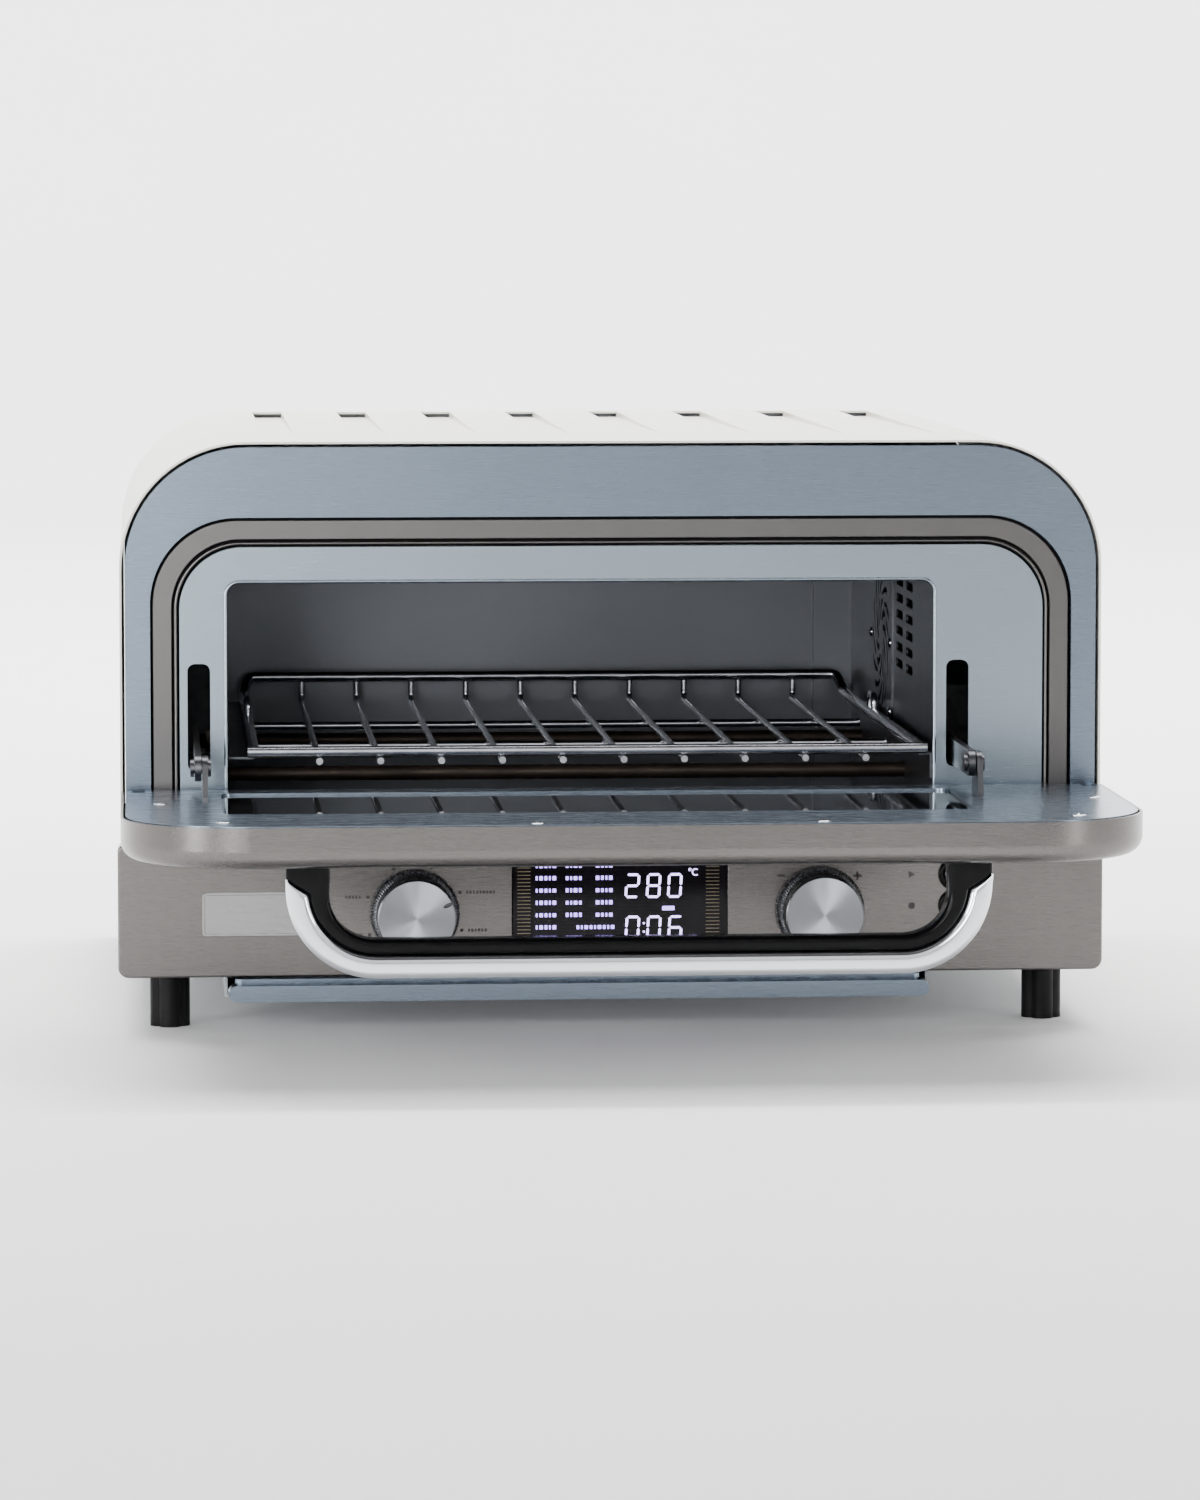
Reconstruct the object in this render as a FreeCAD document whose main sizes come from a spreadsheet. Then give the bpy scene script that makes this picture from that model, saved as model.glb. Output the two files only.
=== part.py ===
import FreeCAD, Part
# Countertop pizza and toaster oven with a drop-down door, drawn with the door open.
# Millimetres: X runs to the right, the front faces -Y and Z is up. The origin lies on the
# table, midway between the sides and midway between the open door's edge and the back.
import math
import os
from types import SimpleNamespace

import Sketcher
from FreeCAD import BoundBox, Placement, Rotation, Vector

doc = FreeCAD.newDocument("PizzaOven")
sheet = doc.addObject("Spreadsheet::Sheet", "Sizes")

DIMENSIONS = {
    "oven_width": (460.0, "control panel, the widest piece"),
    "shell_width": (456.8, "painted outer shell"),
    "oven_top": (275.0, "top of the shell over the table"),
    "oven_depth": (390.0, "front plane of the fascia to the back of the shell"),
    "front_y": (-105.0, "front plane: minus half of oven depth less door reach"),
    "foot_height": (26.5, "table to the underside of the casing"),
    "panel_height": (62.0, "control panel"),
    "panel_depth": (14.0, "control panel, front face to the end of its returns"),
    "shell_bend": (58.5, "outer bend of the shell's top corners"),
    "gauge": (1.0, "sheet metal thickness"),
    "running": (0.05, "radial clearance of a shaft in its bore"),
    "gap": (0.3, "clearance between pieces that move past each other"),
    "fascia_inset": (2.6, "outside of the shell to the edge of the fascia"),
    "fascia_low": (89.0, "lower edge of the fascia and of the front plate"),
    "channel_side": (214.3, "centre to the outer edge of the recessed channel"),
    "channel_top": (240.0, "upper edge of the channel"),
    "channel_bend": (40.0, "outer bend of the channel"),
    "channel_deep": (5.0, "fascia face to the channel's floor"),
    "plate_side": (200.8, "centre to the edge of the inner front plate"),
    "plate_top": (226.3, "upper edge of the inner front plate"),
    "plate_bend": (29.0, "bend of the inner front plate"),
    "cavity_left": (-180.0, "left wall of the cavity"),
    "cavity_right": (150.7, "right wall of the cavity"),
    "cavity_top": (210.8, "upper edge of the front opening"),
    "cavity_roof": (221.0, "roof of the cavity"),
    "cavity_sill": (102.0, "lower edge of the front opening"),
    "cavity_bend": (7.0, "corner of the front opening"),
    "cavity_back": (347.0, "front plane to the cavity's rear wall"),
    "emboss": (6.0, "depth of the rear wall's pressed panel"),
    "shelf_level": (98.0, "top of the control compartment"),
    "shelf_depth": (60.0, "depth of the control compartment"),
    "slot_left": (-192.0, "centre of the left hinge arm slot"),
    "slot_right": (161.0, "centre of the right hinge arm slot"),
    "slot_width": (10.5, "hinge arm slot"),
    "slot_low": (122.6, "lower end of the slots"),
    "slot_high": (172.5, "upper end of the slots"),
    "pivot_ahead": (13.9, "door pivot ahead of the front plane"),
    "pivot_level": (102.1, "door pivot over the table"),
    "pivot_side": (220.0, "centre to the middle of a pivot bracket"),
    "pin_size": (2.5, "radius of the pivot pins and arm pins"),
    "door_side": (228.0, "half the door's width"),
    "door_reach": (180.0, "front plane to the open door's free edge"),
    "door_heel": (5.9, "front plane to the open door's hinge edge"),
    "door_low": (96.1, "outer face of the open door"),
    "door_high": (115.1, "inner face of the open door"),
    "door_bend": (56.0, "bend of the door's two free corners"),
    "door_roll": (8.0, "rounding from the door's face to its edge"),
    "skin": (1.2, "thickness of the door's outer skin"),
    "window_left": (-182.5, "left edge of the window"),
    "window_right": (153.0, "right edge of the window"),
    "window_near": (28.5, "front plane to the window's hinge edge"),
    "window_far": (124.0, "front plane to the window's free edge"),
    "pane": (3.0, "thickness of each pane of glass"),
    "arm_pin_ahead": (57.0, "arm pin ahead of the front plane"),
    "arm_pin_level": (129.6, "arm pin over the table"),
    "arm_length": (161.0, "arm pin to the rear end of the arm"),
    "arm_height": (12.0, "height of the arm's bar"),
    "arm_gauge": (3.0, "thickness of the arm"),
    "guide_at": (90.0, "front plane to the middle of the arm guides"),
    "handle_side": (156.0, "half the handle's width"),
    "handle_low": (46.0, "handle's outer face, door open"),
    "handle_ahead": (156.0, "front plane to the middle of the handle"),
    "handle_deep": (16.0, "width of the handle's bar"),
    "handle_bend": (40.0, "outer bend of the handle"),
    "grip_thick": (10.0, "bright outer strip of the handle"),
    "insert_thick": (7.5, "dark inner strip of the handle"),
    "knob_left": (-92.4, "centre of the selector knob"),
    "knob_right": (96.8, "centre of the dial knob"),
    "knob_level": (55.6, "centre of both knobs over the table"),
    "knob_base": (20.8, "radius of the knob's knurled base"),
    "knob_face": (18.2, "radius of the knob's face"),
    "knob_reach": (23.5, "front plane to the knob's face"),
    "spindle": (3.0, "radius of the knob spindles"),
    "button_x": (160.0, "centre of both buttons"),
    "start_level": (72.0, "start button over the table"),
    "cancel_level": (57.3, "cancel button over the table"),
    "button_size": (4.7, "radius of a button"),
    "button_travel": (1.2, "travel of a button"),
    "display_left": (-46.7, "display window"),
    "display_right": (53.2, "display window"),
    "display_low": (34.0, "display window"),
    "display_high": (81.0, "display window"),
    "tray_left": (-179.0, "crumb tray lip"),
    "tray_right": (148.0, "crumb tray lip"),
    "tray_low": (15.3, "lower edge of the crumb tray lip"),
    "tray_high": (22.8, "upper edge of the crumb tray lip"),
    "rack_centre": (-11.0, "middle of the rack"),
    "rack_half": (155.5, "middle of the rack to the centre of a side wire"),
    "rack_level": (131.0, "centre of the rack's frame wire"),
    "rack_back": (336.0, "front plane to the rack's rear wire"),
    "rack_rise": (8.5, "rear wire over the rest of the frame"),
    "frame_wire": (2.6, "radius of the rack's frame wire"),
    "grid_wire": (1.6, "radius of the rack's rods"),
    "rod_pitch": (28.3, "spacing of the rack's rods"),
    "rod_middle": (-8.9, "middle of the row of rods"),
    "louvre_pitch": (43.7, "spacing of the louvres"),
    "louvre_width": (15.0, "width of a louvre"),
    "louvre_deep": (2.8, "depth of a louvre at its vent"),
    "fan_at": (207.0, "front plane to the fan's axis"),
    "fan_level": (168.0, "fan's axis over the table"),
    "fan_size": (33.0, "radius of the fan"),
    "foot_side": (206.0, "centre to the middle of a foot"),
    "foot_size": (5.2, "radius of one lobe of a foot"),
}

for row, (alias, (number, meaning)) in enumerate(DIMENSIONS.items(), start=1):
    sheet.set(f"A{row}", meaning)
    sheet.set(f"B{row}", str(number))
    sheet.setAlias(f"B{row}", alias)
doc.recompute()


class Size:
    """A length that knows its value and the sheet expression that gives it."""

    def __init__(self, value, text):
        self.value = value
        self.text = text

    def __add__(self, other):
        other = sized(other)
        return Size(self.value + other.value, f"({self.text} + {other.text})")

    def __sub__(self, other):
        other = sized(other)
        return Size(self.value - other.value, f"({self.text} - {other.text})")

    def __mul__(self, factor):
        return Size(self.value * factor, f"({self.text} * {factor})")

    def __neg__(self):
        return self * -1

    __radd__ = __add__
    __rmul__ = __mul__

    def __rsub__(self, other):
        return sized(other) - self


def sized(item):
    """A plain number as a Size."""
    return item if isinstance(item, Size) else Size(float(item), f"({float(item)})")


S = SimpleNamespace(**{alias: Size(sheet.get(alias), f"Sizes.{alias}") for alias in DIMENSIONS})
nodes = []


def node(name, item):
    """Register a finished sub-part under its own label, which also names its file."""
    item.Label = name
    nodes.append(item)
    return item


def bind(item, **sizes):
    """Bind properties of an object to the sheet."""
    for name, size in sizes.items():
        item.setExpression(name, sized(size).text)
    return item


def place(item, x, y, z):
    """Bind an object's position to the sheet."""
    for axis, size in zip("xyz", (x, y, z)):
        item.setExpression(f".Placement.Base.{axis}", sized(size).text)
    return item


# ---- sketches ------------------------------------------------------------------------------


def constrain(sketch, kind, *ends, size):
    """Add a dimension and bind it to the sheet."""
    index = sketch.addConstraint(Sketcher.Constraint(kind, *ends, size.value))
    sketch.setExpression(f"Constraints[{index}]", size.text)


def fix_point(sketch, item, end, u, v):
    """Place one point of a sketch by its two distances from the sketch's origin."""
    constrain(sketch, "DistanceX", -1, 1, item, end, size=u)
    constrain(sketch, "DistanceY", -1, 1, item, end, size=v)


def bend_arc(corner, ahead, behind, radius):
    """Arc that rounds a corner, its setback, and whether the path turns left there."""
    turn = ahead.getAngle(behind)
    setback = radius * math.tan(turn / 2)
    left = behind.cross(ahead).z > 0
    side = 1 if left else -1
    entry = corner - behind * setback
    centre = entry + Vector(-behind.y, behind.x, 0) * (radius * side)
    start = entry if left else corner + ahead * setback
    first = math.atan2(start.y - centre.y, start.x - centre.x)
    circle = Part.Circle(centre, Vector(0, 0, 1), radius)
    return Part.ArcOfCircle(circle, first, first + turn), setback, left


def draw(sketch, corners, closed=True):
    """Straight edges through the corners, each corner (u, v, bend) rounded by its bend."""
    corners = [tuple(sized(number) for number in corner) for corner in corners]
    points = [Vector(corner[0].value, corner[1].value, 0) for corner in corners]
    bends = [corner[2] if len(corner) > 2 and corner[2].value > 0 else None for corner in corners]
    count = len(points)
    edges = count if closed else count - 1
    ways = [(points[(i + 1) % count] - points[i]).normalize() for i in range(edges)]
    marks = []
    for (u, v, *_), point in zip(corners, points):
        marks.append(sketch.addGeometry(Part.Point(point), True))
        fix_point(sketch, marks[-1], 1, u, v)
    arcs = {}
    for i, bend in enumerate(bends):
        if bend:
            arcs[i] = bend_arc(points[i], ways[i], ways[i - 1], bend.value)
    lines = []
    for i in range(edges):
        after = (i + 1) % count
        start = points[i] + ways[i] * (arcs[i][1] if i in arcs else 0)
        end = points[after] - ways[i] * (arcs[after][1] if after in arcs else 0)
        lines.append(sketch.addGeometry(Part.LineSegment(start, end), False))
    for i in range(count):
        join_corner(sketch, marks[i], lines, i, arcs.get(i), bends[i], closed)


def join_corner(sketch, mark, lines, i, arc, bend, closed):
    """Tie the two edges at a corner to its mark, through an arc where it is rounded."""
    into = lines[i - 1] if closed or i > 0 else None
    out = lines[i] if i < len(lines) else None
    if arc is None:
        if into is not None:
            sketch.addConstraint(Sketcher.Constraint("Coincident", into, 2, mark, 1))
        if out is not None:
            sketch.addConstraint(Sketcher.Constraint("Coincident", out, 1, mark, 1))
        return
    curve, _, left = arc
    item = sketch.addGeometry(curve, False)
    first, last = (1, 2) if left else (2, 1)
    sketch.addConstraint(Sketcher.Constraint("PointOnObject", mark, 1, into))
    sketch.addConstraint(Sketcher.Constraint("PointOnObject", mark, 1, out))
    sketch.addConstraint(Sketcher.Constraint("Tangent", into, 2, item, first))
    sketch.addConstraint(Sketcher.Constraint("Tangent", item, last, out, 1))
    constrain(sketch, "Radius", item, size=bend)


def loop(*corners):
    """Closed outline through the corners."""
    return lambda sketch: draw(sketch, corners)


def rect(left, right, low, high, bend=0, high_bend=None):
    """Rectangle; high_bend rounds the two corners on the high side differently."""
    top = bend if high_bend is None else high_bend
    return loop((left, low, bend), (right, low, bend), (right, high, top), (left, high, top))


def arch(outer, inner, low):
    """Upside-down U between two outlines, each (half width, top, bend)."""
    half, top, bend = outer
    half_in, top_in, bend_in = inner
    return loop(
        (-half, low), (-half_in, low), (-half_in, top_in, bend_in), (half_in, top_in, bend_in),
        (half_in, low), (half, low), (half, top, bend), (-half, top, bend))


def shrink(outline, by):
    """The same (half width, top, bend) outline, a little smaller all round."""
    return tuple(item - by for item in outline)


def disc(u, v, radius):
    """Circle."""
    u, v, radius = sized(u), sized(v), sized(radius)

    def draw_disc(sketch):
        circle = Part.Circle(Vector(u.value, v.value, 0), Vector(0, 0, 1), radius.value)
        item = sketch.addGeometry(circle, False)
        fix_point(sketch, item, 3, u, v)
        constrain(sketch, "Radius", item, size=radius)

    return draw_disc


# ---- bodies and features -------------------------------------------------------------------


def new_body(name):
    return doc.addObject("PartDesign::Body", name)


def origin_item(body, role):
    """One of a body's own planes or axes."""
    return next(item for item in body.Origin.OriginFeatures if item.Role == role)


def sketch_on(body, plane, level, shapes):
    """Sketch parallel to one of the body's planes, at a level along that plane's normal."""
    sketch = body.newObject("Sketcher::SketchObject", f"{body.Name}_outline")
    sketch.AttachmentSupport = [(origin_item(body, f"{plane}_Plane"), "")]
    sketch.MapMode = "FlatFace"
    sketch.setExpression("AttachmentOffset.Base.z", sized(level).text)
    for shape in shapes:
        shape(sketch)
    return sketch


def pad(body, plane, low, high, *shapes):
    """Fill the outlines between two levels. The XZ plane's normal is -Y."""
    level = -sized(high) if plane == "XZ" else low
    feature = body.newObject("PartDesign::Pad", f"{body.Name}_pad")
    feature.Profile = sketch_on(body, plane, level, shapes)
    bind(feature, Length=sized(high) - low)
    body.Tip = feature
    return feature


def pocket(body, plane, low, high, *shapes):
    """Cut the outlines out between two levels, and make sure that something was cut."""
    doc.recompute()
    before = body.Shape.Volume
    level = -sized(low) if plane == "XZ" else high
    feature = body.newObject("PartDesign::Pocket", f"{body.Name}_pocket")
    feature.Profile = sketch_on(body, plane, level, shapes)
    bind(feature, Length=sized(high) - low)
    body.Tip = feature
    doc.recompute()
    if not body.Shape.Volume < before - 1e-3:
        raise RuntimeError(f"a pocket of {body.Name} cuts nothing")
    return feature


def repeat(body, features, axis, pitch, count):
    """Repeat features in a row along one of the body's axes."""
    pattern = body.newObject("PartDesign::LinearPattern", f"{body.Name}_row")
    pattern.Originals = features
    pattern.Direction = (origin_item(body, f"{axis}_Axis"), [""])
    pattern.Occurrences = count
    bind(pattern, Length=sized(pitch) * (count - 1))
    body.Tip = pattern
    return pattern


def fillet(body, radius, chosen):
    """Round the body's edges that the chosen test picks."""
    doc.recompute()
    base = body.Tip
    names = [
        f"Edge{i}" for i, edge in enumerate(base.Shape.Edges, start=1) if chosen(edge)]
    feature = body.newObject("PartDesign::Fillet", f"{body.Name}_round")
    feature.Base = (base, names)
    bind(feature, Radius=radius)
    body.Tip = feature
    return feature


def within(low, high):
    """Test for edges that lie inside a box between two corners."""
    space = BoundBox(*(sized(number).value for number in (*low, *high)))
    return lambda edge: space.isInside(edge.BoundBox)


def revolve(body, x, z, *corners):
    """Turn a profile of (radius, y) corners about an axis along Y at x, z."""
    sketch = sketch_on(body, "XY", z, [loop(*corners)])
    bind(sketch, **{"AttachmentOffset.Base.x": x})
    feature = body.newObject("PartDesign::Revolution", f"{body.Name}_turned")
    feature.Profile = sketch
    feature.ReferenceAxis = (sketch, ["V_Axis"])
    feature.Angle = 360
    body.Tip = feature
    return feature


TURNS = {
    "X": Rotation(Vector(0, 1, 0), 90),
    "Y": Rotation(Vector(1, 0, 0), -90),
    "Z": Rotation(),
}


def box(name, x, y, z):
    """Box between two bounds along each axis."""
    item = doc.addObject("Part::Box", name)
    for side, (low, high) in zip(("Length", "Width", "Height"), (x, y, z)):
        bind(item, **{side: sized(high) - low})
    return place(item, x[0], y[0], z[0])


def rod(name, axis, low, high, u, v, radius):
    """Cylinder along an axis between two levels; u and v are its other two coordinates."""
    item = doc.addObject("Part::Cylinder", name)
    item.Placement = Placement(Vector(), TURNS[axis])
    bind(item, Radius=radius, Height=sized(high) - low)
    corner = {"X": (low, u, v), "Y": (u, low, v), "Z": (u, v, low)}[axis]
    return place(item, *corner)


def fuse(name, *items):
    joined = doc.addObject("Part::MultiFuse", name)
    joined.Shapes = list(items)
    return joined


def group(name, *items):
    """Separate solids that share one node."""
    held = doc.addObject("Part::Compound", name)
    held.Links = list(items)
    return held


def cut(name, base, *tools):
    """The base without the tools."""
    result = doc.addObject("Part::Cut", name)
    result.Base = base
    result.Tool = tools[0] if len(tools) == 1 else fuse(f"{name}_tools", *tools)
    return result


SHANK = 1.6


def screw(name, axis, seat, side, u, v, head=3.2, shank=SHANK, length=5.0, thick=1.4):
    """Screw whose head stands on the seat, towards side; its shank goes the other way."""
    seat = sized(seat)
    head_ends, shank_ends = (
        sorted((seat, end), key=lambda level: level.value)
        for end in (seat + thick * side, seat - length * side))
    return fuse(
        name,
        rod(f"{name}_head", axis, *head_ends, u, v, head),
        rod(f"{name}_shank", axis, *shank_ends, u, v, shank))


# ---- levels used by several sub-parts ------------------------------------------------------

front = S.front_y
back = front + S.oven_depth
panel_top = S.foot_height + S.panel_height
shell = (S.shell_width * 0.5, S.oven_top, S.shell_bend)
fascia = shrink(shell, S.fascia_inset)
channel = (S.channel_side, S.channel_top, S.channel_bend)
plate = (S.plate_side, S.plate_top, S.plate_bend)
pivot_y = front - S.pivot_ahead
arm_pin_y = front - S.arm_pin_ahead
cavity_rear = front + S.cavity_back
rear_plate = back - 9


def casing():
    """Painted wrap, back, base and feet."""
    body = new_body("outer_shell")
    pad(body, "XZ", front, back, arch(shell, shrink(shell, S.gauge), S.foot_height))
    pocket(
        body, "YZ", -S.oven_width, S.oven_width,
        rect(front - 1, front + S.panel_depth + S.gap, S.foot_height - 1, panel_top + S.gap))
    vent = back - 22
    start = front + 70
    top = S.oven_top
    first = S.louvre_pitch * -3.5
    half = S.louvre_width * 0.5
    blister = pad(
        body, "YZ", first - half - S.gauge, first + half + S.gauge,
        loop((start, top - S.gauge), (vent, top - S.louvre_deep - S.gauge), (vent, top - 0.5),
             (start, top - 0.5)))
    channel_cut = pocket(
        body, "YZ", first - half, first + half,
        loop((start, top), (vent, top - S.louvre_deep), (vent, top + 1), (start, top + 1)))
    repeat(body, [blister, channel_cut], "X", S.louvre_pitch, 8)
    node("outer_shell", body)

    body = new_body("rear_panel")
    inside = shrink(shell, S.gauge + 0.2)
    half, top, bend = inside
    gland_x, gland_z = 190, 50
    pad(body, "XZ", rear_plate, rear_plate + S.gauge, rect(
        -half, half, S.foot_height + S.gauge, top, 0, bend))
    pocket(body, "XZ", rear_plate, rear_plate + S.gauge, disc(gland_x, gland_z, 7))
    slot = pocket(
        body, "XZ", rear_plate, rear_plate + S.gauge,
        rect(-170, -40, 175, 179, 1.9), rect(10, 140, 175, 179, 1.9))
    repeat(body, [slot], "Z", 9, 8)
    screw_spots = [(x, z) for x in (-205, 0, 205) for z in (38, 195 if x else 263)]
    pocket(body, "XZ", rear_plate, rear_plate + S.gauge, *(
        disc(x, z, SHANK) for x, z in screw_spots))
    node("rear_panel", body)

    bush = cut(
        "gland_bush",
        fuse("gland_outer",
             rod("gland_neck", "Y", rear_plate - 6, rear_plate + S.gauge, gland_x, gland_z, 7),
             rod("gland_flange", "Y", rear_plate + S.gauge, back - 2, gland_x, gland_z, 10)),
        rod("gland_bore", "Y", rear_plate - 7, back, gland_x, gland_z, 3.6))
    node("cord_gland", bush)

    screws = [
        screw(f"rear_screw_{i}", "Y", rear_plate + S.gauge, 1, x, z)
        for i, (x, z) in enumerate(screw_spots)]
    node("rear_screws", group("rear_screw_set", *screws))

    body = new_body("base_plate")
    edge = half
    pad(body, "XY", S.foot_height, S.foot_height + S.gauge, rect(
        -edge, edge, front + S.panel_depth + S.gap, rear_plate))
    pocket(body, "XY", S.foot_height, S.foot_height + S.gauge, rect(
        S.cavity_left, S.cavity_right, front + S.shelf_depth + S.gauge, cavity_rear))
    node("base_plate", body)

    feet = []
    for side in (-1, 1):
        for name, y in (("front", front + 25 + 9), ("rear", back - 45)):
            x = S.foot_side * side
            lobes = [
                rod("lobe", "Z", 0, S.foot_height, x + dx * 4.1, y + dy * 4.1, S.foot_size)
                for dx, dy in ((1, 0), (0, 1), (-1, 0), (0, -1))]
            feet.append(fuse(f"foot_{name}", *lobes))
    node("feet", group("foot_set", *feet))


def front_frame():
    """Fascia, recessed channel and inner front plate, seen round the open cavity."""
    face = front + S.gauge
    floor = front + S.channel_deep
    body = new_body("front_fascia")
    pad(body, "XZ", front, face, arch(fascia, channel, S.fascia_low))
    pad(body, "XZ", face, floor, arch(
        tuple(item + S.gauge for item in channel), channel, S.fascia_low))
    pad(body, "XZ", face, face + 8, arch(fascia, shrink(fascia, S.gauge), S.fascia_low))
    for side in (-1, 1):
        x = S.pivot_side * side
        pocket(body, "XZ", front, face, rect(x - 1.8, x + 1.8, 97.5, 106.7))
    node("front_fascia", body)

    body = new_body("recess_channel")
    outer = tuple(item + S.gauge for item in channel)
    pad(body, "XZ", floor, floor + S.gauge, arch(outer, shrink(plate, S.gauge), S.fascia_low))
    bead = tuple(item + 2.6 for item in plate)
    pad(body, "XZ", front + 2, floor, arch(bead, shrink(bead, 1.4), S.fascia_low))
    node("recess_channel", body)

    body = new_body("inner_front_plate")
    half, top, bend = plate
    pad(body, "XZ", front, face, rect(-half, half, S.fascia_low, top, 0, bend))
    pad(body, "XZ", face, floor, arch(plate, shrink(plate, S.gauge), S.fascia_low))
    pocket(body, "XZ", front, face, rect(
        S.cavity_left, S.cavity_right, S.cavity_sill, S.cavity_top, S.cavity_bend))
    for x in (S.slot_left, S.slot_right):
        pocket(body, "XZ", front, face, rect(
            x - S.slot_width * 0.5, x + S.slot_width * 0.5, S.slot_low, S.slot_high, 3.5))
    node("inner_front_plate", body)


# Height of each row of heating elements, and how far behind the front plane its two lie.
ELEMENTS = {"upper": (213, (60, 290)), "lower": (110, (120, 300))}
PROBE = (125, 196)


def cavity():
    """Walls of the baking space, its heaters, probe and rack rails."""
    inside = front + 1.2
    shelf_top = S.shelf_level + S.gauge
    floor = S.foot_height + S.gauge
    holes = [
        disc(front + at, level, 4.4) for level, places in ELEMENTS.values() for at in places]
    outlets = [
        rect(front + at - 13, front + at + 13, level - 2.2, level + 2.2, 2)
        for at in (100, 139) for level in range(160, 201, 8)]
    step = front + S.shelf_depth + S.gauge + 0.2
    outline = loop(
        (inside, shelf_top), (step, shelf_top), (step, floor), (cavity_rear, floor),
        (cavity_rear, S.cavity_roof), (inside, S.cavity_roof))
    body = new_body("cavity_side_left")
    pad(body, "YZ", S.cavity_left - S.gauge, S.cavity_left, outline, *holes)
    node("cavity_side_left", body)
    body = new_body("cavity_side_right")
    pad(body, "YZ", S.cavity_right, S.cavity_right + S.gauge, outline, *holes, *outlets,
        disc(front + S.fan_at, S.fan_level, S.fan_size + 3))
    node("cavity_side_right", body)

    wall_left = S.cavity_left - S.gauge
    wall_right = S.cavity_right + S.gauge
    body = new_body("cavity_roof")
    pad(body, "XY", S.cavity_roof, S.cavity_roof + S.gauge, rect(
        wall_left, wall_right, inside, cavity_rear))
    node("cavity_roof", body)

    body = new_body("cavity_rear_wall")
    behind = cavity_rear + S.gauge
    pressed = (S.cavity_left + 20, S.cavity_right - 19, 70, 205)
    pad(body, "XZ", cavity_rear, behind, rect(
        wall_left, wall_right, floor, S.cavity_roof + S.gauge))
    pad(body, "XZ", behind, behind + S.emboss, rect(*pressed, 8))
    left, right, low, high = pressed
    pocket(body, "XZ", cavity_rear, cavity_rear + S.emboss, rect(
        left + S.gauge, right - S.gauge, low + S.gauge, high - S.gauge, 7))
    pocket(body, "XZ", cavity_rear + S.emboss - 1, behind + S.emboss, disc(*PROBE, 2.2))
    node("cavity_rear_wall", body)
    probe = fuse(
        "probe",
        rod("probe_stem", "Y", cavity_rear - 26, behind + S.emboss + 12, *PROBE, 2.2),
        rod("probe_collar", "Y", behind + S.emboss, behind + S.emboss + 3, *PROBE, 6))
    node("temperature_probe", probe)

    body = new_body("control_bulkhead")
    half = S.shell_width * 0.5 - S.gauge - 0.6
    wall = front + S.shelf_depth
    lip = front + 9.4
    pad(body, "YZ", -half, half, loop(
        (lip, S.shelf_level), (wall, S.shelf_level), (wall, floor), (wall + S.gauge, floor),
        (wall + S.gauge, shelf_top), (lip, shelf_top)))
    node("control_bulkhead", body)

    rails = []
    ledge = S.rack_level - S.frame_wire - S.gap
    reaches = (
        S.rack_centre - S.rack_half - S.cavity_left, S.cavity_right - S.rack_centre - S.rack_half)
    for name, wall, side, reach in (
            ("left", S.cavity_left, 1, reaches[0]), ("right", S.cavity_right, -1, reaches[1])):
        body = new_body(f"rack_rail_{name}")
        pad(body, "XZ", front + 12, front + 318, loop(
            (wall, ledge - 12), (wall + side * 1.0, ledge - 12), (wall + side * 1.0, ledge - 1),
            (wall + reach * side, ledge - 1), (wall + reach * side, ledge), (wall, ledge)))
        rails.append(body)
    node("rack_rails", group("rack_rail_pair", *rails))

    bushes = []
    for row, (level, places) in ELEMENTS.items():
        rods = [
            rod(f"{row}_element", "X", wall_left - 8, wall_right + 5.3, front + at, level, 3.6)
            for at in places]
        node(f"{row}_elements", group(f"{row}_element_pair", *rods))
        for at in places:
            for low, high in (
                    (wall_left - 5, wall_left), (wall_right, wall_right + 5)):
                bushes.append(cut(
                    "ceramic_bush",
                    rod("bush_outer", "X", low, high, front + at, level, 5.5),
                    rod("bush_bore", "X", low - 1, high + 1, front + at, level, 3.6)))
    node("element_insulators", group("insulator_set", *bushes))


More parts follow.
